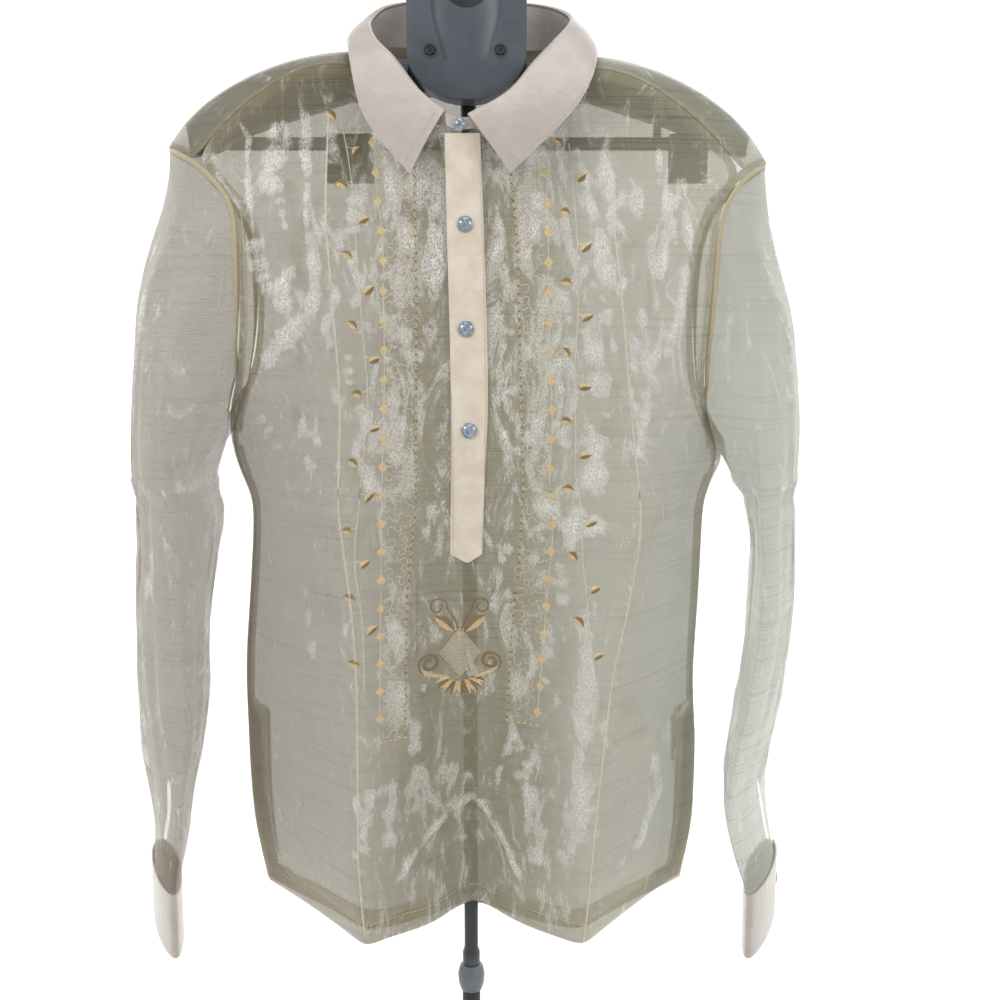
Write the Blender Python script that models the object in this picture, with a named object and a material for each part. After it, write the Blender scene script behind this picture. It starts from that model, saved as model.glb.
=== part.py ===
"""A barong tagalog shirt hanging on a hanger stand.

Metres, +Z up. -Y is the front of the shirt, -X is the side on the left when it is seen from the front.
The origin is on the floor, on the axis of the stand's pole.
"""

import math

import bmesh
import bpy
import numpy as np

# Thicknesses and clearances
CLOTH = 0.0012
SATIN = 0.0014
SEAM = 0.0003
SIDE_GAP = 0.0028
VENT_OPEN = 0.0050
VENT_TOP = 0.665
BACK_EDGE_IN = 0.0006
BACK_EDGE_FORWARD = 0.0011
REST = 0.0006

# Heights that several pieces share
HEM = 0.515
UNDERARM_LEFT = 0.925
UNDERARM_RIGHT = 0.905
UNDERARM_EDGE = 0.006
BACK_LINE = 1.105
CUFF_TOP = 0.542
CUFF_FOOT = 0.487

# The front at each height: outer face at the side seam or armhole, the pressed fold, the centre, the other
# pressed fold and the other side, then how far the cloth bellies out beside and between the folds.
FRONT = [
    # height, left x, y, fold x, y, centre x, y, fold x, y, right x, y, belly side, belly middle
    (0.510, -0.1785, 0.030, -0.0810, -0.094, 0.002, -0.018, 0.0905, -0.092, 0.1815, 0.030, -0.004, 0.003),
    (0.585, -0.1922, 0.030, -0.0870, -0.091, 0.002, -0.021, 0.0985, -0.089, 0.1950, 0.030, -0.002, 0.003),
    (0.645, -0.1943, 0.030, -0.0862, -0.087, 0.001, -0.026, 0.1030, -0.085, 0.1955, 0.030, 0.002, 0.003),
    (0.703, -0.1941, 0.026, -0.0860, -0.083, 0.000, -0.032, 0.1090, -0.082, 0.1915, 0.026, 0.006, 0.002),
    (0.790, -0.1870, 0.022, -0.0892, -0.080, -0.001, -0.046, 0.1210, -0.079, 0.1940, 0.020, 0.008, 0.001),
    (0.862, -0.1815, 0.015, -0.0985, -0.077, -0.001, -0.056, 0.1320, -0.077, 0.1950, 0.014, 0.008, 0.001),
    (0.887, -0.1915, 0.012, -0.0965, -0.073, 0.000, -0.059, 0.1300, -0.072, 0.2035, 0.008, 0.010, 0.001),
    (0.905, -0.1960, 0.010, -0.0960, -0.072, 0.000, -0.061, 0.1280, -0.070, 0.2120, 0.002, 0.010, 0.001),
    (0.925, -0.1975, 0.005, -0.0962, -0.070, 0.001, -0.063, 0.1265, -0.069, 0.1920, -0.026, 0.008, 0.001),
    (0.965, -0.1825, -0.033, -0.0973, -0.068, 0.0015, -0.064, 0.1230, -0.068, 0.1840, -0.042, 0.005, 0.001),
    (1.027, -0.1749, -0.048, -0.1000, -0.066, 0.000, -0.065, 0.1150, -0.066, 0.1874, -0.049, 0.004, 0.001),
    (1.079, -0.1748, -0.049, -0.1030, -0.065, -0.001, -0.066, 0.1090, -0.065, 0.1910, -0.048, 0.003, 0.001),
    (1.103, -0.1775, -0.045, -0.1040, -0.064, -0.002, -0.066, 0.1050, -0.064, 0.1965, -0.041, 0.003, 0.001),
    (1.124, -0.2000, -0.035, -0.1047, -0.063, -0.003, -0.066, 0.1020, -0.063, 0.2145, -0.024, 0.002, 0.001),
    (1.134, -0.2101, -0.030, -0.1048, -0.062, -0.003, -0.066, 0.1010, -0.062, 0.2150, -0.024, 0.002, 0.001),
]

# The back at each height, in the same columns as the front.
BACK = [
    (0.495, -0.1785, 0.030, -0.0840, -0.046, 0.002, 0.014, 0.0915, -0.045, 0.1815, 0.030, 0.008, 0.000),
    (0.585, -0.1922, 0.030, -0.0880, -0.036, 0.002, 0.018, 0.0960, -0.035, 0.1950, 0.030, 0.010, 0.000),
    (0.645, -0.1943, 0.030, -0.0890, -0.018, 0.001, 0.024, 0.0985, -0.017, 0.1955, 0.030, 0.012, 0.000),
    (0.703, -0.1941, 0.026, -0.0900, 0.004, 0.000, 0.034, 0.1000, 0.004, 0.1915, 0.026, 0.014, 0.000),
    (0.790, -0.1870, 0.022, -0.0930, 0.040, 0.000, 0.050, 0.1010, 0.040, 0.1940, 0.020, 0.015, 0.000),
    (0.862, -0.1815, 0.015, -0.0990, 0.066, 0.000, 0.062, 0.1030, 0.066, 0.1950, 0.014, 0.013, 0.001),
    (0.887, -0.1915, 0.012, -0.0990, 0.070, 0.000, 0.065, 0.1030, 0.070, 0.2035, 0.008, 0.012, 0.001),
    (0.905, -0.1960, 0.010, -0.0990, 0.072, 0.000, 0.067, 0.1030, 0.072, 0.2120, 0.002, 0.012, 0.001),
    (0.925, -0.1975, 0.005, -0.0990, 0.073, 0.000, 0.068, 0.1030, 0.073, 0.1990, 0.028, 0.010, 0.001),
    (0.965, -0.1840, 0.043, -0.1000, 0.072, 0.000, 0.069, 0.1030, 0.072, 0.1890, 0.046, 0.006, 0.001),
    (1.027, -0.1790, 0.054, -0.1000, 0.072, 0.000, 0.070, 0.1030, 0.072, 0.1880, 0.054, 0.004, 0.001),
    (1.079, -0.1810, 0.054, -0.1000, 0.071, 0.000, 0.071, 0.1030, 0.071, 0.1930, 0.052, 0.003, 0.001),
    (1.105, -0.1920, 0.050, -0.1000, 0.070, 0.000, 0.071, 0.1030, 0.070, 0.2030, 0.045, 0.002, 0.001),
]

# Broad soft folds on the front and back: a ridge from one point to another, its half width and its height.
FRONT_FOLDS = [
    # x high, z high, x low, z low, half width, height
    (-0.004, 0.640, -0.052, 0.545, 0.016, 0.006),
    (0.006, 0.640, 0.054, 0.545, 0.016, 0.006),
    (-0.150, 1.060, -0.135, 0.930, 0.012, 0.004),
    (0.160, 1.050, 0.150, 0.900, 0.013, 0.004),
    (-0.170, 0.860, -0.105, 0.872, 0.010, 0.004),
    (0.180, 0.855, 0.135, 0.866, 0.010, 0.004),
]
BACK_FOLDS = [
    (-0.150, 1.060, -0.130, 0.880, 0.014, 0.004),
    (0.155, 1.060, 0.140, 0.880, 0.014, 0.004),
    (-0.030, 0.760, -0.060, 0.560, 0.018, 0.005),
    (0.034, 0.760, 0.058, 0.560, 0.018, 0.005),
]

# Where the front and back hems hang lower or higher than their own height, across the width.
FRONT_HEM = [
    # share of the width, rise
    (0.0, 0.002),
    (0.22, 0.004),
    (0.36, -0.003),
    (0.5, 0.007),
    (0.64, -0.001),
    (0.8, 0.004),
    (1.0, 0.008),
]
BACK_HEM = [
    (0.0, 0.022),
    (0.2, 0.011),
    (0.36, 0.006),
    (0.5, 0.009),
    (0.64, 0.005),
    (0.8, 0.012),
    (1.0, 0.022),
]

# The neck: half its width and depth, where its middle lies, and the height of its seam round each side.
NECK_HALF_WIDTH = 0.082
NECK_HALF_DEPTH = 0.064
NECK_MIDDLE_Y = -0.002
NECK_SIDE_X = 0.004
NECK_FRONT_X = -0.003
NECK_SEAM = [(0, 1.150), (24, 1.159), (42, 1.177), (65, 1.201), (90, 1.218), (135, 1.229), (180, 1.231)]
NECK_RIGHT_DROP = 0.003

# Collar: the rise of the stand above the neck seam, and the leaf's outer edge, from front to centre back.
LEAF_LEFT = [
    # angle, rise, edge x, y, z
    (9, 0.012, -0.0410, -0.0790, 1.1185),
    (24, 0.021, -0.0610, -0.0750, 1.1400),
    (42, 0.030, -0.0780, -0.0690, 1.1650),
    (65, 0.023, -0.0855, -0.0560, 1.1960),
    (90, 0.023, -0.0925, -0.0200, 1.2230),
    (115, 0.031, -0.0970, 0.0200, 1.2290),
    (140, 0.036, -0.0840, 0.0620, 1.2230),
    (160, 0.039, -0.0460, 0.0790, 1.2200),
    (180, 0.040, 0.0000, 0.0830, 1.2190),
]
LEAF_RIGHT = [
    (3, 0.011, 0.0330, -0.0790, 1.1190),
    (24, 0.021, 0.0570, -0.0750, 1.1420),
    (42, 0.030, 0.0820, -0.0680, 1.1680),
    (65, 0.029, 0.0950, -0.0540, 1.1930),
    (90, 0.027, 0.1010, -0.0180, 1.2180),
    (115, 0.031, 0.1030, 0.0220, 1.2250),
    (140, 0.036, 0.0860, 0.0620, 1.2220),
    (160, 0.039, 0.0460, 0.0790, 1.2200),
    (180, 0.040, 0.0000, 0.0830, 1.2190),
]
STAND_LEAN = 0.97
LEAF_BELLY = 0.003
STAND_TOP = 0.0031
STAND_SUNK = 0.0005
BAND_LAP = 0.0045

# The shoulders and the upper back, which are cut in one with the back panel. Each row is a line that runs
# from the neck seam to the armhole or to the back line, steered by a near and a far point.
SHOULDER = [
    # turn, neck angle, near x, y, z, far x, y, z, end x, y, z
    (0, 54, -0.100, -0.050, 1.226, -0.170, -0.043, 1.182, -0.2101, -0.030, 1.1337),
    (4, 92, -0.120, 0.000, 1.223, -0.210, 0.000, 1.199, -0.2380, 0.001, 1.1460),
    (8, 122, -0.105, 0.052, 1.224, -0.172, 0.052, 1.182, -0.2150, 0.038, 1.1320),
    (10, 138, -0.085, 0.070, 1.212, -0.150, 0.070, 1.155, -0.1920, 0.050, 1.1050),
    (15, 158, -0.042, 0.070, 1.200, -0.085, 0.073, 1.150, -0.1000, 0.070, 1.1050),
    (20, 180, 0.000, 0.069, 1.195, 0.000, 0.073, 1.150, 0.0000, 0.071, 1.1050),
]
SHOULDER_RIGHT_DROP = (0.004, 0.006, 0.0)
SHOULDER_RIGHT_ENDS = [
    # turn, end x, y, z
    (0, 0.2145, -0.024, 1.1240),
    (4, 0.2375, 0.001, 1.1335),
    (8, 0.2200, 0.034, 1.1220),
    (10, 0.2030, 0.045, 1.1050),
    (15, 0.1030, 0.070, 1.1050),
    (20, 0.0000, 0.071, 1.1050),
]
SHOULDER_CELLS = 8

# The sleeves hang flat, seen edge-on: at each height the front crease, the back crease, and how far the
# cloth bellies away from the line between them, outwards and inwards.
SLEEVE_LEFT = [
    # height, front x, y, back x, y, out, in
    (0.540, -0.2440, -0.052, -0.2835, 0.062, 0.010, 0.010),
    (0.562, -0.2410, -0.053, -0.2800, 0.066, 0.012, 0.012),
    (0.587, -0.2360, -0.055, -0.2810, 0.070, 0.013, 0.015),
    (0.617, -0.2340, -0.057, -0.2830, 0.074, 0.018, 0.018),
    (0.650, -0.2300, -0.060, -0.2800, 0.078, 0.025, 0.022),
    (0.700, -0.2260, -0.064, -0.2760, 0.082, 0.030, 0.027),
    (0.760, -0.2260, -0.068, -0.2720, 0.085, 0.031, 0.028),
    (0.830, -0.2300, -0.071, -0.2640, 0.087, 0.029, 0.037),
    (0.863, -0.2280, -0.074, -0.2600, 0.089, 0.030, 0.040),
    (0.888, -0.2360, -0.074, -0.2600, 0.087, 0.030, 0.029),
    (0.921, -0.2340, -0.073, -0.2580, 0.085, 0.031, 0.036),
    (1.000, -0.2260, -0.066, -0.2480, 0.075, 0.032, 0.040),
    (1.080, -0.2160, -0.055, -0.2380, 0.060, 0.033, 0.040),
    (1.135, -0.2100, -0.040, -0.2300, 0.044, 0.026, 0.030),
]
SLEEVE_RIGHT = [
    (0.540, 0.2310, -0.052, 0.2700, 0.062, 0.010, 0.010),
    (0.566, 0.2210, -0.053, 0.2650, 0.066, 0.012, 0.012),
    (0.590, 0.2150, -0.055, 0.2610, 0.070, 0.013, 0.013),
    (0.610, 0.2090, -0.057, 0.2600, 0.073, 0.015, 0.013),
    (0.640, 0.2120, -0.060, 0.2600, 0.076, 0.016, 0.015),
    (0.700, 0.2220, -0.064, 0.2620, 0.080, 0.021, 0.014),
    (0.770, 0.2300, -0.069, 0.2620, 0.084, 0.025, 0.012),
    (0.830, 0.2300, -0.073, 0.2580, 0.087, 0.026, 0.008),
    (0.850, 0.2260, -0.075, 0.2560, 0.088, 0.026, 0.007),
    (0.880, 0.2240, -0.078, 0.2540, 0.088, 0.029, 0.004),
    (0.921, 0.2210, -0.076, 0.2520, 0.085, 0.033, 0.016),
    (1.000, 0.2230, -0.066, 0.2460, 0.074, 0.028, 0.036),
    (1.065, 0.2300, -0.055, 0.2420, 0.060, 0.014, 0.040),
    (1.120, 0.2280, -0.038, 0.2380, 0.042, 0.012, 0.030),
]
SLEEVE_RINGS = 20
SLEEVE_SIDES = 24
SLEEVE_HEAD = 0.20
SLEEVE_SHIFT_LEFT = 0.0020
SLEEVE_SHIFT_RIGHT = 0.0016
SLEEVE_SLIT_RINGS = 2
CUFF_LAP = 0.0026
CUFF_ENDS = (146, 530)

# Placket: its two edges at each height, then the under band and the snaps
PLACKET = [
    # height, left edge, right edge
    (0.8220, -0.0020, 0.0006),
    (0.8290, -0.0141, 0.0109),
    (0.8876, -0.0129, 0.0130),
    (0.9528, -0.0125, 0.0158),
    (1.0756, -0.0146, 0.0130),
    (1.1485, -0.0160, 0.0102),
]
PLACKET_LIFT = 0.0005
BAND_HALF = 0.0165
UNDER_BAND_HALF = 0.0120
UNDER_BAND_FOOT = 0.838
SLIT_HALF = 0.0010
SLIT_FOOT = 0.845
SNAP_RADIUS = 0.0062
SNAP_HEIGHT = 0.0030
SNAP_SIDES = 14
CUFF_SNAP_TURN = 512
CUFF_SNAP_HEIGHT = 0.509
NECK_SNAP_ANGLE = 361
NECK_SNAP_RADIUS = 0.0046
SNAPS = [("snap_1", -0.0010, 1.0827), ("snap_2", -0.0006, 1.0052), ("snap_3", 0.0013, 0.9279)]

# Hanger stand
HEAD_HALF = 0.045
HEAD_FOOT = 1.176
HEAD_TOP = 1.292
HEAD_WAIST = 1.212
HEAD_CORNER = 0.012
HEAD_RECESS_RADIUS = 0.0190
HEAD_RECESS_Z = 1.2625
SOCKET_GAP = 0.0004
CROSS_PIECE = [(-0.0450, 1.186), (0.0450, 1.186), (0.0450, 1.220), (-0.0450, 1.220)]
CROSS_PIECE_Y = (-0.012, 0.016)
SCOOP = [
    # height, half width, depth
    (1.300, 0.0300, 0.0100),
    (1.235, 0.0260, 0.0100),
    (1.205, 0.0170, 0.0060),
]
HEAD_FRONT_Y = -0.045
HEAD_BACK_Y = -0.008
ARM_ROOT = 0.0454
ARM_FOOT = [(0.040, 1.180), (0.086, 1.180), (0.122, 1.170), (0.170, 1.155), (0.196, 1.141), (0.230, 1.136)]
ARM_LIP = 0.008
ARM_LIP_PROUD = 0.003
ARM_INSIDE_Y = 0.002
ARM_TURNS = 2.0
ARM_NECK_DROP = 0.004
ARM_CLEAR = 0.0008
BAR_BACK_Y = 0.0135
BAR_FRONT_Y = 0.0075
BAR_LOW = 1.1445
BAR_HIGH = 1.1545
BAR_END = 0.192
POST_X = 0.150
POST_HALF = 0.003
CLIP_JAW = 0.0022
CLIP_GAP = 0.0004
CLIP_CROWN = 0.002
CLIP_FOOT = 1.119
CLIPS = [("clip_left", -0.1130, -0.0760), ("clip_right", 0.1600, 0.1900)]
POLE_RADIUS = 0.006
POLE_TOP = 1.195
CLAMP_LOW = 0.4306
CLAMP_HIGH = 0.4541
TUBE_RADIUS = 0.0078
BASE_RADIUS = 0.175
BASE_HEIGHT = 0.022
HUB_RADIUS = 0.028
HUB_HEIGHT = 0.048


def clear_scene():
    for thing in list(bpy.data.objects):
        bpy.data.objects.remove(thing, do_unlink=True)


def finish_for(name, colour, roughness, metallic=0.0):
    """A plain material of the piece's own."""
    material = bpy.data.materials.new(name + "_finish")
    material.use_nodes = True
    shader = material.node_tree.nodes["Principled BSDF"]
    shader.inputs["Base Color"].default_value = (*colour, 1.0)
    shader.inputs["Roughness"].default_value = roughness
    shader.inputs["Metallic"].default_value = metallic
    return material


ORGANZA_LOOK = ((0.62, 0.57, 0.44), 0.45)
SATIN_LOOK = ((0.66, 0.56, 0.47), 0.35)
PLACKET_LOOK = ((0.70, 0.56, 0.40), 0.35)
SNAP_LOOK = ((0.38, 0.45, 0.52), 0.25, 0.6)
GREY_LOOK = ((0.16, 0.18, 0.20), 0.40)
DARK_LOOK = ((0.05, 0.055, 0.06), 0.45)


def add_object(name, points, faces, look):
    mesh = bpy.data.meshes.new(name)
    mesh.from_pydata([tuple(p) for p in points], [], faces)
    mesh.update()
    mesh.shade_smooth()
    mesh.set_sharp_from_angle(angle=math.radians(42))
    thing = bpy.data.objects.new(name, mesh)
    thing.data.materials.append(finish_for(name, *look))
    bpy.context.collection.objects.link(thing)
    return thing


def along(table, where):
    """Every column of a table after its first, read smoothly at places along that first column."""
    rows = np.array(table, dtype=float)
    knots, values = rows[:, 0], rows[:, 1:]
    slope = np.diff(values, axis=0) / np.diff(knots)[:, None]
    tangent = np.zeros_like(values)
    tangent[0], tangent[-1] = slope[0], slope[-1]
    rising = slope[:-1] * slope[1:]
    total = slope[:-1] + slope[1:]
    tangent[1:-1] = np.where(rising > 0, 2 * rising / np.where(rising > 0, total, 1.0), 0.0)
    place = np.clip(np.atleast_1d(np.asarray(where, dtype=float)), knots[0], knots[-1])
    i = np.clip(np.searchsorted(knots, place) - 1, 0, len(knots) - 2)
    span = (knots[i + 1] - knots[i])[:, None]
    t = (place - knots[i])[:, None] / span
    return (
        values[i] * (1 + 2 * t) * (1 - t) ** 2
        + tangent[i] * span * t * (1 - t) ** 2
        + values[i + 1] * t * t * (3 - 2 * t)
        + tangent[i + 1] * span * t * t * (t - 1)
    )


def ease(t):
    t = np.clip(t, 0.0, 1.0)
    return t * t * (3 - 2 * t)


def grid_faces(points, closed=False, skip=None):
    """Quads over a grid of points, in its own order; skip leaves cells out."""
    rows, columns = points.shape[:2]
    faces = []
    for i in range(rows - 1):
        for j in range(columns if closed else columns - 1):
            if skip is not None and skip(i, j):
                continue
            k = (j + 1) % columns
            faces.append((i * columns + j, i * columns + k, (i + 1) * columns + k, (i + 1) * columns + j))
    return faces


def surface_normals(points, faces):
    normals = np.zeros_like(points)
    for face in faces:
        corner = points[list(face)]
        normal = np.cross(corner[2] - corner[0], corner[3] - corner[1])
        for index in face:
            normals[index] += normal
    length = np.linalg.norm(normals, axis=1)
    return normals / np.where(length > 0, length, 1.0)[:, None]


def split_quads(points, faces):
    """Quads cut along their shorter diagonal, so that both faces of a wall bend along the same lines."""
    halves = []
    for face in faces:
        if len(face) != 4:
            halves.append(face)
            continue
        a, b, c, d = face
        if np.linalg.norm(points[a] - points[c]) <= np.linalg.norm(points[b] - points[d]):
            halves += [(a, b, c), (a, c, d)]
        else:
            halves += [(b, c, d), (b, d, a)]
    return halves


def wall(name, points, faces, thickness, look, inward=None):
    """A closed wall whose outer face is the given surface; inward overrides the way to the inner face."""
    used = sorted({index for face in faces for index in face})
    order = {old: new for new, old in enumerate(used)}
    outer = points[used]
    faces = [tuple(order[index] for index in face) for face in faces]
    inner = outer - surface_normals(outer, faces) * thickness
    for old, step in (inward or {}).items():
        if old in order:
            inner[order[old]] = outer[order[old]] + np.array(step)
    faces = split_quads(outer, faces)
    count = len(outer)
    edges = {}
    for face in faces:
        for a, b in zip(face, face[1:] + face[:1]):
            edges[(a, b)] = True
    solid = list(faces)
    solid += [tuple(count + index for index in reversed(face)) for face in faces]
    solid += [(b, a, count + a, count + b) for a, b in edges if (b, a) not in edges]
    return add_object(name, np.vstack([outer, inner]), solid, look)


def loft(name, rings, look):
    """A solid through closed rings of equal count, closed by a flat face at each end."""
    rings = np.array(rings)
    count = rings.shape[1]
    faces = grid_faces(rings, closed=True)
    faces.append(tuple(reversed(range(count))))
    faces.append(tuple((len(rings) - 1) * count + j for j in range(count)))
    thing = add_object(name, rings.reshape(-1, 3), faces, look)
    face_outwards(thing)
    return thing


def face_outwards(thing):
    work = bmesh.new()
    work.from_mesh(thing.data)
    bmesh.ops.recalc_face_normals(work, faces=work.faces)
    work.to_mesh(thing.data)
    work.free()


def circle(radius, height, sides, centre=(0.0, 0.0)):
    turn = np.linspace(0, 2 * math.pi, sides, endpoint=False)
    return np.stack(
        [centre[0] + radius * np.cos(turn), centre[1] + radius * np.sin(turn), np.full(sides, height)], axis=1
    )


def turned(name, profile, sides, look):
    """A turned solid round the pole's axis from rows of radius and height, foot first."""
    return loft(name, [circle(radius, height, sides) for radius, height in profile], look)


def fold_height(folds, x, z):
    """How far the broad folds lift the cloth at a place on a panel."""
    lift = np.zeros_like(x)
    for x_high, z_high, x_low, z_low, half_width, height in folds:
        run = np.array([x_low - x_high, z_low - z_high])
        share = ((x - x_high) * run[0] + (z - z_high) * run[1]) / run.dot(run)
        share = np.clip(share, 0.0, 1.0)
        apart = np.hypot(x - x_high - share * run[0], z - z_high - share * run[1])
        ends = np.sin(math.pi * np.clip(share, 0.04, 0.96))
        lift += height * ends * np.exp(-((apart / half_width) ** 2))
    return lift


def section_columns(table, height):
    """The seven lines of a panel at one height: x and y of sides, folds and the flat centre band."""
    row = along(table, height)[0]
    x = np.array([row[0], row[2], row[4] - BAND_HALF, row[4] + BAND_HALF, row[6], row[8]])
    y = np.array([row[1], row[3], row[5], row[5], row[7], row[9]])
    return x, y, row[10], row[11]


def panel_point(table, folds, way, across, height):
    """The outer face of the front (way -1) or back (way 1), across in spans from one side to the other."""
    x, y, belly_side, belly_middle = section_columns(table, height)
    span = min(int(across), 4)
    t = across - span
    belly = (belly_side, belly_middle, 0.0, belly_middle, belly_side)[span] * 4 * t * (1 - t)
    px = x[span] + t * (x[span + 1] - x[span])
    py = y[span] + t * (y[span + 1] - y[span]) + way * belly
    py += way * float(fold_height(folds, np.array([px]), np.array([height]))[0])
    return np.array([px, py, height])


def neck_point(angle, grow=1.0):
    """The neck seam; the angle runs from the front centre over the left side to the back and round."""
    turn = math.radians(angle)
    side = abs((angle + 180) % 360 - 180)
    middle_x = NECK_SIDE_X + (NECK_FRONT_X - NECK_SIDE_X) * ((1 + math.cos(turn)) / 2) ** 2
    height = along(NECK_SEAM, side)[0][0]
    if math.sin(turn) < 0:
        height -= NECK_RIGHT_DROP * math.sin(math.radians(side))
    x = middle_x - grow * NECK_HALF_WIDTH * math.sin(turn)
    y = NECK_MIDDLE_Y - grow * NECK_HALF_DEPTH * math.cos(turn)
    return np.array([x, y, height])


def shoulder_controls(right):
    """The steering table of one shoulder; the right one is the left one turned over and let down a little."""
    rows = []
    ends = SHOULDER_RIGHT_ENDS
    for row, end in zip(SHOULDER, ends):
        row = list(row)
        if right:
            for k in (2, 5):
                row[k] = -row[k]
            row[1] = 360 - row[1]
            row[4] -= SHOULDER_RIGHT_DROP[0]
            row[7] -= SHOULDER_RIGHT_DROP[1]
            row[8:11] = end[1:4]
        rows.append(row)
    return rows


def shoulder_line(turn, right):
    """Points along one line of the shoulder from the neck seam outwards."""
    row = along(shoulder_controls(right), turn)[0]
    start = neck_point(row[0])
    near, far, end = row[1:4], row[4:7], row[7:10]
    t = np.linspace(0, 1, SHOULDER_CELLS + 1)[:, None]
    return start * (1 - t) ** 3 + near * 3 * t * (1 - t) ** 2 + far * 3 * t * t * (1 - t) + end * t**3


LAST_TURN = SHOULDER[-1][0]
BACK_CORNER_TURN = SHOULDER[3][0]


def across_values(spans, cells):
    """Places across a panel: the ends of its spans with the given number of cells in each."""
    values = [spans[0]]
    for low, high, count in zip(spans, spans[1:], cells):
        values += list(np.linspace(low, high, count + 1)[1:])
    return values


def seam_frame(place, right):
    """At a place along the shoulder seam: the way over the shoulder, and the way in through the cloth."""
    line, behind = shoulder_line(0, right), shoulder_line(1, right)
    i = min(int(place), SHOULDER_CELLS - 1)
    along_seam = line[i + 1] - line[i]
    along_seam /= np.linalg.norm(along_seam)
    over = behind[i] - line[i]
    over -= along_seam * over.dot(along_seam)
    over /= np.linalg.norm(over)
    inward = np.cross(along_seam, over)
    return over, inward * (1 if inward[2] < 0 else -1)


def into_armhole(point):
    """The way through the cloth at an armhole's edge, the same for the panel and for the sleeve."""
    middle = np.array([math.copysign(0.16, point[0]), 0.0, 1.03])
    return (middle - point) / np.linalg.norm(middle - point) * CLOTH * 1.1


def front_top(across):
    """The front's upper edge: the shoulder seam from the armhole to the neck, then down the neck seam."""
    right = across > 2.5
    outer = min(across, 5 - across)
    if outer <= 1.0:
        line = shoulder_line(0, right)
        place = (1 - outer) * SHOULDER_CELLS
        i = min(int(place), SHOULDER_CELLS - 1)
        point = line[i] + (place - i) * (line[i + 1] - line[i])
        return point - seam_frame(place, right)[0] * 2 * SEAM
    slit_side = 2.5 - SLIT_HALF / (2 * BAND_HALF)
    share = (outer - 1.0) / (slit_side - 1.0)
    angle = SHOULDER[0][1] * (1 - share) + 1.0 * share
    return neck_point(-angle if right else angle) - np.array([0, 0, 2 * SEAM])


def panel(table, folds, way, top, hem, places, rows, edge_from):
    """A grid over a panel, drawn to its upper edge over its last quarter, hem first."""
    grid = np.zeros((rows + 1, len(places), 3))
    for j, across in enumerate(places):
        end = top(across)
        foot = (HEM if way < 0 else table[0][0]) + along(hem, across / 5)[0][0]
        reach = end - panel_point(table, folds, way, across, end[2])
        for i in range(rows + 1):
            share = i / rows
            height = foot + share * (end[2] - foot)
            grid[i, j] = panel_point(table, folds, way, across, height)
            grid[i, j] += reach * ease((share - edge_from) / (1 - edge_from))
    return grid


def side_steps(grid, left_column, right_column, inward, forward):
    """At a side seam a panel turns its inner edge this far to the middle and forward, clear of the other's."""
    rows, columns = grid.shape[:2]
    steps = {}
    for i in range(rows):
        for j, way, underarm in ((left_column, 1, UNDERARM_LEFT), (right_column, -1, UNDERARM_RIGHT)):
            if grid[i, j, 2] < underarm + UNDERARM_EDGE:
                steps[i * columns + j] = (way * inward, -forward, 0)
            else:
                steps[i * columns + j] = into_armhole(grid[i, j])
    return steps


def front_places():
    slit = SLIT_HALF / (2 * BAND_HALF)
    spans = [0, 1, 2, 2.5 - slit, 2.5 + slit, 3, 4, 5]
    cells = [7, 6, 1, 1, 1, 6, 7]
    return across_values(spans, cells), sum(cells[:3])


def make_front(grid):
    places, slit_column = front_places()
    rows = grid.shape[0] - 1
    slit_row = next(i for i in range(rows) if grid[i, slit_column, 2] > SLIT_FOOT)
    faces = grid_faces(grid, skip=lambda i, j: j == slit_column and i >= slit_row)
    steps = side_steps(grid, 0, len(places) - 1, 1.5 * CLOTH, 0)
    for j, across in enumerate(places):
        outer = min(across, 5 - across)
        if outer <= 1.0:
            inward = seam_frame((1 - outer) * SHOULDER_CELLS, across > 2.5)[1]
            steps[rows * len(places) + j] = inward * CLOTH
    return wall("front", grid.reshape(-1, 3), faces, CLOTH, ORGANZA_LOOK, steps)


def back_top(across):
    """The back line, where the panel runs on into the shoulders; across runs from the right side here."""
    left = across > 2.5
    outer = min(across, 5 - across)
    turn = BACK_CORNER_TURN + (LAST_TURN - BACK_CORNER_TURN) * outer / 2.5
    return shoulder_line(turn, not left)[-1]


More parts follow.
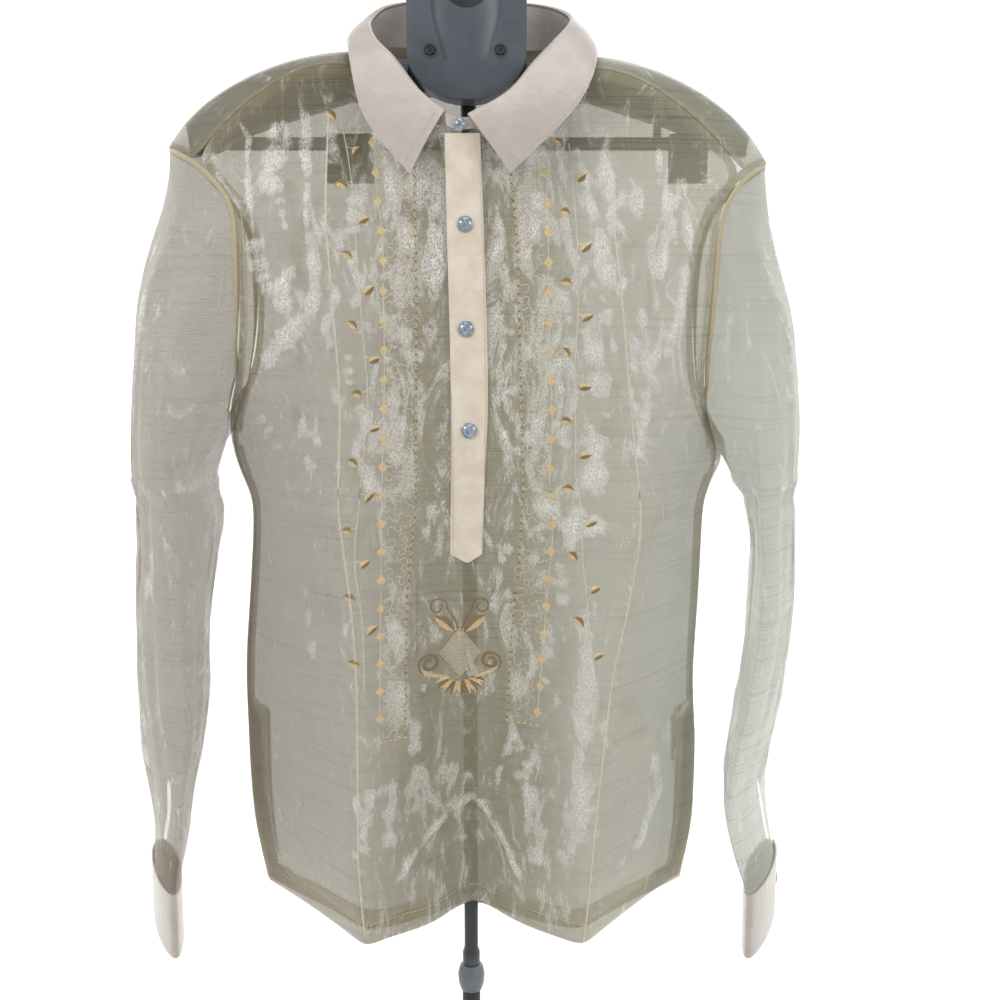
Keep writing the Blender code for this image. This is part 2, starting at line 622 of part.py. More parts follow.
def make_back():
    columns = 2 * (LAST_TURN - BACK_CORNER_TURN)
    places = [5 * j / columns for j in range(columns + 1)]
    rows = 22
    mirrored = panel(BACK, BACK_FOLDS, 1, lambda a: back_top(5 - a), BACK_HEM, places, rows, 0.80)
    lower = mirrored[:, ::-1]
    turns = range(LAST_TURN + 1)
    lines = [shoulder_line(turn, True)[::-1] for turn in turns]
    lines += [shoulder_line(turn, False)[::-1] for turn in reversed(turns[:-1])]
    upper = np.array(lines).transpose(1, 0, 2)
    points = np.vstack([lower.reshape(-1, 3), upper.reshape(-1, 3)])
    offset = lower.shape[0] * lower.shape[1]
    faces = grid_faces(lower)
    faces += [tuple(offset + index for index in face) for face in grid_faces(upper)]
    top_row = (lower.shape[0] - 1) * lower.shape[1]
    same = {offset + BACK_CORNER_TURN + j: top_row + j for j in range(columns + 1)}
    faces = [tuple(same.get(index, index) for index in face) for face in faces]
    steps = side_steps(lower, len(places) - 1, 0, BACK_EDGE_IN, BACK_EDGE_FORWARD)
    for row in range(lower.shape[0]):
        for column, underarm in ((0, UNDERARM_RIGHT), (len(places) - 1, UNDERARM_LEFT)):
            if lower[row, column, 2] < underarm + UNDERARM_EDGE:
                below_vent = np.clip((VENT_TOP - lower[row, column, 2]) / (VENT_TOP - HEM), 0, 1)
                points[row * lower.shape[1] + column, 1] += SIDE_GAP + VENT_OPEN * below_vent
    first_line = [offset + i * upper.shape[1] for i in range(upper.shape[0])]
    last_line = [index + upper.shape[1] - 1 for index in first_line]
    for i, (a, b) in enumerate(zip(first_line, last_line)):
        place = SHOULDER_CELLS - i
        steps[same.get(a, a)] = seam_frame(place, True)[1] * CLOTH
        steps[same.get(b, b)] = seam_frame(place, False)[1] * CLOTH
    for j in range(1, BACK_CORNER_TURN + 1):
        for index in (offset + j, offset + upper.shape[1] - 1 - j):
            steps[same.get(index, index)] = into_armhole(points[index])
    return wall("back", points, faces, CLOTH, ORGANZA_LOOK, steps)


def armhole(right):
    """The armhole from the shoulder point down the front, under the arm and up the back, evenly spaced."""
    side = slice(8, 10) if right else slice(0, 2)
    underarm = UNDERARM_RIGHT if right else UNDERARM_LEFT
    corner = shoulder_line(0, right)[-1]
    heights = np.linspace(corner[2] - 0.004, underarm, 30)
    front = np.column_stack([along(FRONT, heights)[:, side], heights])
    heights = np.linspace(underarm + 0.004, BACK_LINE, 24)
    back = np.column_stack([along(BACK, heights)[:, side], heights])
    over_front = np.array([shoulder_line(turn, right)[-1] for turn in np.linspace(4, 0, 9)])
    over_back = np.array([shoulder_line(turn, right)[-1] for turn in np.linspace(10, 4, 13)])
    halves = []
    for half in (np.vstack([over_front, front]), np.vstack([back, over_back])):
        gap = np.linalg.norm(np.diff(half, axis=0), axis=1)
        run = np.concatenate([[0], np.cumsum(gap)])
        even = np.linspace(0, run[-1], SLEEVE_SIDES // 2 + 1)
        halves.append(np.column_stack([np.interp(even, run, half[:, k]) for k in range(3)]))
    return np.vstack([halves[0], halves[1][1:-1]])


def sleeve_section(table, turn, height):
    """A point of the flat sleeve at one height; the turn is 0 at the front crease, 90 on the outer face."""
    row = along(table, height)[0]
    front, back = row[0:2], row[2:4]
    across = back - front
    outwards = np.array([-across[1], across[0]]) / np.linalg.norm(across)
    if outwards[0] * front[0] < 0:
        outwards = -outwards
    bend = math.sin(math.radians(turn))
    rounded = 0.45 * bend + 0.55 * bend * abs(bend)
    reach = (row[4] if bend > 0 else row[5]) * rounded
    place = (front + back) / 2 - across / 2 * math.cos(math.radians(turn)) + outwards * reach
    return np.array([place[0], place[1], height])


def make_sleeve(right):
    table = SLEEVE_RIGHT if right else SLEEVE_LEFT
    start = armhole(right)
    into = start.mean(axis=0) - start
    into[:, 0] = 0
    start += into / np.linalg.norm(into, axis=1)[:, None] * 2 * SEAM
    start[:, 0] += SLEEVE_SHIFT_RIGHT if right else -SLEEVE_SHIFT_LEFT
    rings = []
    for i in range(SLEEVE_RINGS + 1):
        share = (i / SLEEVE_RINGS) ** 1.15
        ring = []
        for j in range(SLEEVE_SIDES):
            turn = 90 - 360 * j / SLEEVE_SIDES
            top = start[j]
            height = top[2] + share * (CUFF_TOP + SEAM - top[2])
            hung = sleeve_section(table, turn, height)
            pull = ease(share / SLEEVE_HEAD)
            point = top + pull * (hung - top)
            point[2] = height
            ring.append(point)
        rings.append(ring if right else ring[::-1])
    grid = np.array(rings)
    slit_column = 17 if right else 6
    steps = {j: into_armhole(grid[0, j]) for j in range(SLEEVE_SIDES)}
    first_slit = SLEEVE_RINGS - SLEEVE_SLIT_RINGS
    faces = grid_faces(grid, closed=True, skip=lambda i, j: j == slit_column and i >= first_slit)
    name = "sleeve_right" if right else "sleeve_left"
    return wall(name, grid.reshape(-1, 3), faces, CLOTH, ORGANZA_LOOK, steps)


def cuff_point(table, turn):
    """A point of the cuff's outer face and the way out there; past 360 the cuff laps over itself."""
    point = sleeve_section(table, turn, CUFF_TOP)
    run = sleeve_section(table, turn + 2, CUFF_TOP) - sleeve_section(table, turn - 2, CUFF_TOP)
    outwards = np.array([run[1], -run[0], 0.0]) / np.linalg.norm(run)
    middle = (sleeve_section(table, 0, CUFF_TOP) + sleeve_section(table, 180, CUFF_TOP)) / 2
    if outwards.dot(point - middle) < 0:
        outwards = -outwards
    return point + outwards * (SATIN + CUFF_LAP * ease((turn - 440) / 60)), outwards


def make_cuff(right):
    """A satin band whose one end laps over the other on the outer face near the back crease."""
    table = SLEEVE_RIGHT if right else SLEEVE_LEFT
    rings = []
    for height in (CUFF_FOOT, (CUFF_FOOT + CUFF_TOP) / 2, CUFF_TOP - SEAM):
        ring = []
        for turn in np.linspace(CUFF_ENDS[0], CUFF_ENDS[1], 29):
            point = cuff_point(table, turn)[0]
            point[2] = height
            ring.append(point)
        rings.append(ring if right else ring[::-1])
    grid = np.array(rings)
    name = "cuff_right" if right else "cuff_left"
    return wall(name, grid.reshape(-1, 3), grid_faces(grid), SATIN, SATIN_LOOK)


def leaf_angles(table):
    """Stations of the leaf from its front corner to the centre back, closer together at the front."""
    low, high = table[0][0], table[-1][0]
    return low + (high - low) * np.linspace(0, 1, 17) ** 1.15


def lap(angle):
    """How far the right end of the collar stands out, where it laps over the left one."""
    return BAND_LAP * ease((angle - 315) / 35)


def band_face(angle, share):
    """A point of the neck band's outer face, at a share of its own height."""
    side = abs((angle + 180) % 360 - 180)
    rise = along(LEAF_LEFT if angle <= 180 else LEAF_RIGHT, side)[0][0]
    point = neck_point(angle, 1 + share * (STAND_LEAN - 1))
    point[2] = neck_point(angle)[2] + SEAM + share * (rise - STAND_TOP)
    away = point - np.array([0, NECK_MIDDLE_Y, point[2]])
    return point + away / np.linalg.norm(away) * (lap(angle) - STAND_SUNK)


def make_collar_stand():
    """The neck band: from inside the front on the right, round by the left, until it laps over itself."""
    angles = [-11, -4, 3] + list(leaf_angles(LEAF_LEFT))
    angles += [360 - angle for angle in leaf_angles(LEAF_RIGHT)[::-1][1:]] + [362, 368]
    grid = np.array([[band_face(angle, share) for angle in angles] for share in (0.0, 0.5, 1.0)])
    return wall("collar_stand", grid[:, ::-1].reshape(-1, 3), grid_faces(grid), SATIN, SATIN_LOOK)


def leaf_lines(table, right):
    """Lines of the collar leaf from inside its roll, over it and down to its outer edge."""
    lines = []
    for angle in leaf_angles(table):
        row = along(table, angle)[0]
        rise, edge = row[0], row[1:4]
        turn = 360 - angle if right else angle
        roll = neck_point(turn, STAND_LEAN)
        roll[2] += rise
        away = roll - np.array([0, NECK_MIDDLE_Y, roll[2]])
        away /= np.linalg.norm(away)
        roll += away * lap(turn)
        inside = roll - away * 0.0022
        inside[2] -= 0.0006
        crown = roll + away * 0.0006
        crown[2] += 0.0010
        shoulder = roll + away * 0.0036
        line = [inside, crown, shoulder]
        for share in (0.25, 0.5, 0.75, 1.0):
            point = shoulder + share * (edge - shoulder)
            lines_out = away * LEAF_BELLY * 4 * share * (1 - share)
            line.append(point + lines_out)
        lines.append(line)
    return lines


def make_collar():
    left = leaf_lines(LEAF_LEFT, False)
    right = leaf_lines(LEAF_RIGHT, True)
    grid = np.array(left + right[::-1][1:]).transpose(1, 0, 2)
    return wall("collar", grid.reshape(-1, 3), grid_faces(grid), SATIN, SATIN_LOOK)


def band_y(grid, height):
    """The front's outer face along the placket at a height, at its foremost and its hindmost."""
    slit_column = front_places()[1]
    columns = grid[:, slit_column - 1 : slit_column + 3]
    faces = [np.interp(height, columns[:, k, 2], columns[:, k, 1]) for k in range(4)]
    return min(faces), max(faces)


def make_placket(front):
    heights = [row[0] for row in PLACKET[:2]] + list(np.linspace(0.845, PLACKET[-1][0], 22))
    grid = np.zeros((len(heights), 4, 3))
    for i, height in enumerate(heights):
        left, right = along(PLACKET, height)[0]
        for j in range(4):
            x = left + (right - left) * j / 3
            grid[i, j] = (x, band_y(front, height)[0] - PLACKET_LIFT - SATIN, height)
    return wall("placket", grid.reshape(-1, 3), grid_faces(grid), SATIN, PLACKET_LOOK)


def make_under_band(front):
    heights = np.linspace(UNDER_BAND_FOOT, PLACKET[-1][0] - 0.001, 22)
    grid = np.zeros((len(heights), 2, 3))
    for i, height in enumerate(heights):
        middle = along(FRONT, height)[0][4]
        for j, way in enumerate((-1, 1)):
            grid[i, j] = (middle + way * UNDER_BAND_HALF, band_y(front, height)[1] + CLOTH + REST, height)
    return wall("placket_under", grid.reshape(-1, 3), grid_faces(grid), SATIN, PLACKET_LOOK)


def make_snap(name, place, facing, radius=SNAP_RADIUS):
    """A round pearly cap with a stepped rim; facing is the way that its crown points."""
    facing = np.array(facing) / np.linalg.norm(facing)
    across = np.cross(facing, (0, 0, 1))
    across /= np.linalg.norm(across)
    up = np.cross(across, facing)
    rows = [(1.0, 0.0), (1.0, 0.25), (0.86, 0.42), (0.80, 0.42), (0.66, 0.80), (0.38, 0.97), (0.12, 1.0)]
    rings = []
    for share, height in rows:
        ring = []
        for turn in np.linspace(0, 2 * math.pi, SNAP_SIDES, endpoint=False):
            reach = across * math.cos(turn) + up * math.sin(turn)
            ring.append(np.array(place) + reach * share * radius + facing * height * SNAP_HEIGHT)
        rings.append(ring)
    return loft(name, rings, SNAP_LOOK)


def make_snaps(front):
    for name, x, height in SNAPS:
        y = min(band_y(front, height + step)[0] for step in (-SNAP_RADIUS, 0, SNAP_RADIUS))
        make_snap(name, (x, y - PLACKET_LIFT - SATIN - SEAM, height), (0, -1, 0))
    for name, table in (("snap_cuff_left", SLEEVE_LEFT), ("snap_cuff_right", SLEEVE_RIGHT)):
        point, outwards = cuff_point(table, CUFF_SNAP_TURN)
        point[2] = CUFF_SNAP_HEIGHT
        make_snap(name, point + outwards * SEAM, outwards)
    point = band_face(NECK_SNAP_ANGLE, 0.5)
    facing = point - np.array([0, NECK_MIDDLE_Y, point[2]])
    facing /= np.linalg.norm(facing)
    make_snap("snap_neck", point + facing * 5 * SEAM, facing, NECK_SNAP_RADIUS)


def make_arm(right):
    """A hanger arm under the shoulder: a cap that carries the cloth, with a deep front and a lip below it."""
    lines = np.array([shoulder_line(turn, right) for turn in range(9)])
    grid = lines.transpose(1, 0, 2)
    normals = surface_normals(grid.reshape(-1, 3), grid_faces(grid)).reshape(grid.shape)
    if normals[SHOULDER_CELLS // 2, 4, 2] < 0:
        normals = -normals
    rings = []
    for i in range(SHOULDER_CELLS):
        half = ARM_TURNS * (1 - 0.5 * ease((i / SHOULDER_CELLS - 0.6) / 0.4))
        cap = []
        for turn in np.linspace(4 - half, 4 + half, 5):
            k = int(turn)
            point = grid[i, k] + (turn - k) * (grid[i, k + 1] - grid[i, k])
            normal = normals[i, k] + (turn - k) * (normals[i, k + 1] - normals[i, k])
            drop = np.array([0, 0, ARM_NECK_DROP if i == 0 else 0])
            cap.append(point - normal * (CLOTH + ARM_CLEAR) - drop)
        rings.append(arm_ring(cap, ARM_LIP_PROUD * (1 - ease((i / SHOULDER_CELLS - 0.5) / 0.3))))
    root = [np.array([math.copysign(ARM_ROOT, p[0]), p[1], p[2] - 0.002]) for p in rings[0][:5]]
    rings.insert(0, arm_ring(root, ARM_LIP_PROUD))
    return loft("hanger_arm_right" if right else "hanger_arm_left", rings, GREY_LOOK), rings


def arm_ring(cap, proud):
    """One section of an arm: the cap, its short back edge, then the deep front with the lip at its foot."""
    front, back = cap[0], cap[-1]
    foot = float(along(ARM_FOOT, abs(front[0]))[0][0])
    under = min(back[2], front[2]) - 0.012
    lip_y = front[1] - proud
    return list(cap) + [
        np.array([back[0], back[1], back[2] - 0.010]),
        np.array([front[0], ARM_INSIDE_Y, under]),
        np.array([front[0], ARM_INSIDE_Y, foot]),
        np.array([front[0], lip_y, foot]),
        np.array([front[0], lip_y, foot + ARM_LIP]),
        np.array([front[0], front[1], foot + ARM_LIP + 0.002]),
    ]


def arm_underside(rings, x):
    """How high the underside of an arm's cap is above the trouser bar, at a distance from the middle."""
    places, heights = [], []
    for ring in rings:
        back, under = ring[5], ring[6]
        share = (BAR_BACK_Y - ARM_INSIDE_Y) / max(back[1] - ARM_INSIDE_Y, BAR_BACK_Y)
        places.append(abs(ring[4][0]))
        heights.append(min(under[2] + share * (back[2] - under[2]), under[2]))
    return float(np.interp(x, places, heights))


def prism(name, outline, low, high, axis, look):
    """A flat outline of two coordinates pushed out along the remaining axis from low to high."""
    rings = []
    for place in (low, high):
        ring = []
        for a, b in outline:
            point = [a, b]
            point.insert(axis, place)
            ring.append(point)
        rings.append(ring)
    return loft(name, rings, look)


def make_bar(left_rings, right_rings):
    """The trouser bar, hung by two uprights from the undersides of the arms."""
    left_top = arm_underside(left_rings, POST_X + POST_HALF)
    right_top = arm_underside(right_rings, POST_X + POST_HALF)
    outline = [(-BAR_END, BAR_LOW), (BAR_END, BAR_LOW), (BAR_END, BAR_HIGH)]
    for middle, top in ((POST_X, right_top), (-POST_X, left_top)):
        high, low = middle + POST_HALF, middle - POST_HALF
        outline += [(high, BAR_HIGH), (high, top), (low, top), (low, BAR_HIGH)]
    outline.append((-BAR_END, BAR_HIGH))
    return prism("trouser_bar", outline, BAR_FRONT_Y, BAR_BACK_Y, 1, GREY_LOOK)


def make_clip(name, left, right):
    """A clip that rides on the bar: a channel open downwards."""
    front, back, top = BAR_FRONT_Y - CLIP_GAP, BAR_BACK_Y + CLIP_GAP, BAR_HIGH + CLIP_GAP
    outline = [
        (front - CLIP_JAW, CLIP_FOOT),
        (front, CLIP_FOOT),
        (front, top),
        (back, top),
        (back, CLIP_FOOT),
        (back + CLIP_JAW, CLIP_FOOT),
        (back + CLIP_JAW, top + CLIP_CROWN),
        (front - CLIP_JAW, top + CLIP_CROWN),
    ]
    return prism(name, outline, left, right, 0, DARK_LOOK)


def cut(thing, cutter, operation="DIFFERENCE"):
    modifier = thing.modifiers.new(operation.lower(), "BOOLEAN")
    modifier.operation = operation
    modifier.object = cutter
    modifier.solver = "EXACT"
    cutter.hide_render = True
    cutter.display_type = "WIRE"


def make_head():
    """The moulded head: a U-shaped shield with a scooped front, and a cross piece behind it."""
    outline = [(-HEAD_HALF, HEAD_TOP - HEAD_CORNER), (-HEAD_HALF, HEAD_WAIST)]
    for turn in np.linspace(0, math.pi, 17)[1:-1]:
        drop = (HEAD_WAIST - HEAD_FOOT) * math.sin(turn) ** 0.9
        outline.append((-HEAD_HALF * math.cos(turn), HEAD_WAIST - drop))
    outline += [(HEAD_HALF, HEAD_WAIST), (HEAD_HALF, HEAD_TOP - HEAD_CORNER)]
    outline += [(HEAD_HALF - HEAD_CORNER, HEAD_TOP), (-HEAD_HALF + HEAD_CORNER, HEAD_TOP)]
    head = prism("hanger_head", outline, HEAD_FRONT_Y, HEAD_BACK_Y, 1, GREY_LOOK)
    cross = prism("head_cross_piece", CROSS_PIECE, *CROSS_PIECE_Y, 1, GREY_LOOK)
    cut(head, cross, "UNION")
    rings = []
    for height, half, depth in SCOOP:
        ring = []
        for turn in np.linspace(0, 2 * math.pi, 24, endpoint=False):
            inwards = depth * math.sin(turn) if math.sin(turn) > 0 else -0.004
            ring.append((half * math.cos(turn), HEAD_FRONT_Y + inwards, height))
        rings.append(ring)
    cut(head, loft("head_scoop", rings, GREY_LOOK))
    rings = []
    for depth in (-0.06, -0.02):
        disc = circle(HEAD_RECESS_RADIUS, depth, 24, (0.0, HEAD_RECESS_Z))
        rings.append([(x, y, z) for x, z, y in disc])
    cut(head, loft("head_recess", rings, GREY_LOOK))
    bore_radius = POLE_RADIUS + SOCKET_GAP
    bore = [circle(bore_radius, height, 24) for height in (HEAD_FOOT - 0.02, POLE_TOP + SOCKET_GAP)]
    cut(head, loft("head_socket", bore, GREY_LOOK))
    return head


def make_stand():
    make_head()
    left_rings = make_arm(False)[1]
    right_rings = make_arm(True)[1]
    make_bar(left_rings, right_rings)
    for name, left, right in CLIPS:
        make_clip(name, left, right)
    turned(
        "pole",
        [(0.0075, CLAMP_HIGH + SEAM), (0.0075, 0.4660), (POLE_RADIUS, 0.4700), (POLE_RADIUS, POLE_TOP)],
        24,
        DARK_LOOK,
    )
    turned(
        "pole_clamp",
        [(0.0090, CLAMP_LOW), (0.0110, 0.4370), (0.0118, 0.4450), (0.0105, 0.4510), (0.0088, CLAMP_HIGH)],
        24,
        GREY_LOOK,
    )
    turned("tube", [(TUBE_RADIUS, HUB_HEIGHT + SEAM), (TUBE_RADIUS, CLAMP_LOW - SEAM)], 24, DARK_LOOK)
    turned(
        "base",
        [
            (BASE_RADIUS - 0.004, 0.0),
            (BASE_RADIUS, 0.004),
            (BASE_RADIUS, BASE_HEIGHT - 0.006),
            (BASE_RADIUS - 0.006, BASE_HEIGHT),
            (HUB_RADIUS + 0.006, BASE_HEIGHT + 0.004),
            (HUB_RADIUS, HUB_HEIGHT - 0.010),
            (HUB_RADIUS - 0.008, HUB_HEIGHT),
        ],
        36,
        DARK_LOOK,
    )


def make_shirt():
    front = panel(FRONT, FRONT_FOLDS, -1, front_top, FRONT_HEM, front_places()[0], 32, 0.72)
    make_front(front)
    make_back()
    make_sleeve(False)
    make_sleeve(True)
    make_cuff(False)
    make_cuff(True)
    make_collar_stand()
    make_collar()
    make_placket(front)
    make_under_band(front)
    make_snaps(front)


clear_scene()
make_shirt()
make_stand()
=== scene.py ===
"""A barong tagalog shirt on its hanger stand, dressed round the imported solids.

Metres, +Z up. -Y is the front of the shirt, and -X is the left of the photograph.
"""

import math
import random

import bmesh
import bpy
import numpy as np
from mathutils import Matrix, Vector
from mathutils.bvhtree import BVHTree
from mathutils.kdtree import KDTree


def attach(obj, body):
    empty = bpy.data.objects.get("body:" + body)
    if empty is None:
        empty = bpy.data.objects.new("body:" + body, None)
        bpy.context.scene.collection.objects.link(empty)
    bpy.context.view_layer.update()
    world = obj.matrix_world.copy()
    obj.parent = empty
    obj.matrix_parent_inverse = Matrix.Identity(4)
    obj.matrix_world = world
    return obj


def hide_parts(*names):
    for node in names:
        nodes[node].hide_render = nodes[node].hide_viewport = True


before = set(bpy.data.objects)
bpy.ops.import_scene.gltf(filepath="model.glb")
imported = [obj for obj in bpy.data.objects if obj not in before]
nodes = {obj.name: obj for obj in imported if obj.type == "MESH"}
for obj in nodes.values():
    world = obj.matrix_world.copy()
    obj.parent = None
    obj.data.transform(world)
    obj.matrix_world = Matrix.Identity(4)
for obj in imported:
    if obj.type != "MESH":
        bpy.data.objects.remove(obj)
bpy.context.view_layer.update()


# The view and the light
# A camera at chest height, tilted a little down, as a shop photographs a shirt on a stand. A pale sweep of
# paper goes under and behind it. One large soft light is on each side, one above, one behind and two on the
# paper.
CAMERA_PLACE = (0.025, -1.05, 1.03)
CAMERA_TILT_DOWN = 9
CAMERA_LENS = 46.44
PAPER_HALF = 4.0
PAPER_BEHIND = 2.6
PAPER_TALL = 5
PAPER_BEND = 1.2
ROOM_LIGHT = 0.40

bpy.ops.object.camera_add(location=CAMERA_PLACE, rotation=(math.radians(90 - CAMERA_TILT_DOWN), 0, 0))
camera = bpy.context.object
camera.data.lens = CAMERA_LENS
camera.data.sensor_width = 36
camera.data.clip_start = 0.05
bpy.context.scene.camera = camera
bpy.context.scene.view_settings.view_transform = "Standard"

world = bpy.data.worlds.new("studio")
bpy.context.scene.world = world
world.use_nodes = True
world.node_tree.nodes["Background"].inputs["Color"].default_value = (1.0, 1.0, 1.0, 1.0)
world.node_tree.nodes["Background"].inputs["Strength"].default_value = ROOM_LIGHT

for name, place, aim, size, power in (
    ("window_left", (-1.9, -1.5, 2.1), (-0.05, 0.0, 0.95), 1.1, 27),
    ("window_right", (1.9, -1.3, 1.6), (0.05, 0.0, 0.90), 1.0, 17),
    ("lamp_above", (0.1, -0.5, 2.9), (0.0, 0.0, 1.0), 1.4, 18),
    ("lamp_behind", (0.5, 2.0, 2.4), (0.0, 0.0, 1.0), 1.2, 8),
    ("paper_lamp_left", (-1.8, 1.1, 1.9), (-0.4, 2.6, 1.0), 1.2, 44),
    ("paper_lamp_right", (1.8, 1.1, 1.9), (0.4, 2.6, 1.0), 1.2, 44),
):
    bpy.ops.object.light_add(type="AREA", location=place)
    light = bpy.context.object
    light.name = name
    light.data.size = size
    light.data.energy = power
    light.rotation_euler = (Vector(aim) - Vector(place)).to_track_quat("-Z", "Y").to_euler()


def bare():
    """Nothing selected, so that the next operator acts on its own piece alone."""
    bpy.ops.object.select_all(action="DESELECT")


def apply_modifiers(piece):
    bare()
    bpy.context.view_layer.objects.active = piece
    piece.select_set(True)
    for modifier in list(piece.modifiers):
        bpy.ops.object.modifier_apply(modifier=modifier.name)
    return piece


def pick(piece, kind, test):
    """Opens a piece for editing, with those of its edges or faces selected that the test picks."""
    bpy.ops.object.mode_set(mode="EDIT")
    bpy.ops.mesh.select_all(action="DESELECT")
    mesh = bmesh.from_edit_mesh(piece.data)
    for part in getattr(mesh, kind):
        part.select = test(part)
    bmesh.update_edit_mesh(piece.data)


bare()
bpy.ops.mesh.primitive_plane_add(size=2 * PAPER_HALF, location=(0, PAPER_BEHIND - PAPER_HALF, 0))
paper = bpy.context.object
paper.name = "paper_sweep"
pick(paper, "edges", lambda edge: all(vertex.co.y > PAPER_HALF - 0.01 for vertex in edge.verts))
bpy.ops.mesh.extrude_region_move(TRANSFORM_OT_translate={"value": (0, 0, PAPER_TALL)})
bpy.ops.object.mode_set(mode="OBJECT")
rounding = paper.modifiers.new("rounding", "BEVEL")
rounding.width = PAPER_BEND
rounding.segments = 12
apply_modifiers(paper)
bpy.ops.object.shade_smooth()


class Signal:
    """A socket of a finish, wrapped so that shader maths reads as plain expressions."""

    def __init__(self, finish, socket):
        self.finish = finish
        self.socket = socket

    def maths(self, operation, first, second=None):
        values = {0: first} if second is None else {0: first, 1: second}
        return self.finish.add("ShaderNodeMath", {"operation": operation}, values)

    def __add__(self, other):
        return self.maths("ADD", self, other)

    def __sub__(self, other):
        return self.maths("SUBTRACT", self, other)

    def __rsub__(self, other):
        return self.maths("SUBTRACT", other, self)

    def __mul__(self, other):
        return self.maths("MULTIPLY", self, other)

    __radd__ = __add__
    __rmul__ = __mul__


class Finish:
    """A material built round one Principled shader."""

    def __init__(self, name, **sockets):
        self.material = bpy.data.materials.new(name)
        self.material.use_nodes = True
        self.tree = self.material.node_tree
        self.shader = self.tree.nodes["Principled BSDF"]
        self.place = self.add("ShaderNodeTexCoord", output="Object")
        self.set(**sockets)

    def feed(self, socket, value):
        if isinstance(value, Signal):
            self.tree.links.new(value.socket, socket)
        elif isinstance(value, tuple) and len(value) == 3 and socket.type == "RGBA":
            socket.default_value = (*value, 1.0)
        else:
            socket.default_value = value

    def add(self, kind, settings=None, values=None, output=0):
        node = self.tree.nodes.new(kind)
        for key, setting in (settings or {}).items():
            if key == "stops":
                for stop, (where, colour) in zip(ramp_stops(node, len(setting)), setting):
                    stop.position = where
                    stop.color = (*colour, 1.0) if isinstance(colour, tuple) else (colour,) * 3 + (1.0,)
            else:
                setattr(node, key, setting)
        for key, value in (values or {}).items():
            self.feed(node.inputs[key], value)
        return Signal(self, node.outputs[output])

    def set(self, **sockets):
        for key, value in sockets.items():
            self.feed(self.shader.inputs[key.replace("_", " ")], value)

    def stretched(self, scale, turn=(0.0, 0.0, 0.0)):
        """Object coordinates, scaled and turned."""
        return self.add("ShaderNodeMapping", values={"Vector": self.place, "Rotation": turn, "Scale": scale})

    def noise(self, scale, detail=3.0, where=None, roughness=0.55, distortion=0.0):
        return self.add(
            "ShaderNodeTexNoise",
            values={
                "Vector": where or self.place,
                "Scale": scale,
                "Detail": detail,
                "Roughness": roughness,
                "Distortion": distortion,
            },
        )

    def ramp(self, signal, *stops):
        return self.add("ShaderNodeValToRGB", {"stops": stops}, {"Fac": signal})

    def mix(self, share, first, second):
        return self.add(
            "ShaderNodeMix",
            {"data_type": "RGBA", "clamp_factor": True},
            {0: share, 6: first, 7: second},
            output=2,
        )

    def bump(self, height, strength, distance, under=None):
        values = {"Height": height, "Strength": strength, "Distance": distance}
        if under is not None:
            values["Normal"] = under
        return self.add("ShaderNodeBump", values=values)

    def axis(self, index):
        """One of the object's own coordinates."""
        return self.add("ShaderNodeSeparateXYZ", values={0: self.place}, output=index)

    def maths(self, operation, signal):
        return signal.maths(operation, signal)

    def attribute(self, name):
        return self.add("ShaderNodeAttribute", {"attribute_name": name}, output="Fac")


def ramp_stops(node, count):
    stops = node.color_ramp.elements
    while len(stops) < count:
        stops.new(0.5)
    return stops


def tint(red, green, blue):
    """A colour given as the eye reads it on a screen, 0 to 255, as the shader wants it."""
    return tuple((part / 255) ** 2.2 for part in (red, green, blue))


# Paper of the sweep
# Plain pale seamless paper, slightly mottled.
paper_finish = Finish("pale_paper", Roughness=0.9)
mottle = paper_finish.ramp(paper_finish.noise(1.5), (0.3, tint(238, 238, 236)), (0.7, tint(246, 246, 244)))
paper_finish.set(Base_Color=mottle)
paper.data.materials.append(paper_finish.material)


# Front panel
# Sheer crisp organza, cut in one piece and slit from the neck for the placket. It was folded in its packet,
# so it keeps two long creases and one across, and facets where it was crushed; their silvery shine is a
# painted highlight in the colour.
RIM = 0.0019
SUBDIVISIONS = 3


def organza(name, ground, slub, pale, painted_paling, dense=0.0):
    """Sheer silk with thick threads across it, and painted silvery highlights and painted light in its
    colour.
    """
    cloth = Finish(name)
    slubs = cloth.noise(1.0, 2, cloth.stretched((7, 7, 560)), 0.72)
    glint = cloth.noise(1.0, 1, cloth.stretched((1100, 1100, 640)), 0.6)
    facets = cloth.noise(36, 4, cloth.stretched((1.0, 1.0, 0.40)), 0.72, 1.9)
    # Painted highlight: where the painted value with noise runs high, crushed facets get silvery patches and
    # glints
    crushed = cloth.attribute("sheen") + facets * 1.7 - 0.85
    painted_sheen_patch = cloth.ramp(crushed, (0.26, 0.0), (0.39, 0.24), (0.43, 0.58), (0.85, 1.0))
    painted_sparkle = painted_sheen_patch * cloth.ramp(glint, (0.38, 0.25), (0.58, 1.0))
    # Painted light: the tint pales along one axis, as if the light fell brighter there
    axis, scale, shift, start, end = painted_paling
    painted_light_share = cloth.ramp(cloth.axis(axis) * scale + shift, (start, 0.0), (end, 1.0))
    painted_lit_ground = cloth.mix(painted_light_share * 0.75, ground, pale)
    middle = cloth.ramp(cloth.maths("ABSOLUTE", cloth.axis(0)) * 10.0, (0.30, dense), (0.95, 0.0))
    lined = cloth.mix(cloth.ramp(slubs, (0.50, 0.0), (0.72, 1.0)) * 0.55, painted_lit_ground, slub)
    # The painted highlight lightens the colour to silver, and also thickens the cloth and makes it glossier
    cloth.set(
        Base_Color=cloth.mix(painted_sparkle * 0.80, lined, tint(238, 234, 232)),
        Roughness=0.52 - painted_sparkle * 0.14,
        Alpha=0.60 + painted_sparkle * 0.22 + slubs * 0.05 + middle,
        Normal=cloth.bump(facets, 0.24, 0.0040),
        Specular_IOR_Level=0.7,
        Sheen_Weight=0.30,
        Sheen_Roughness=0.35,
    )
    return cloth
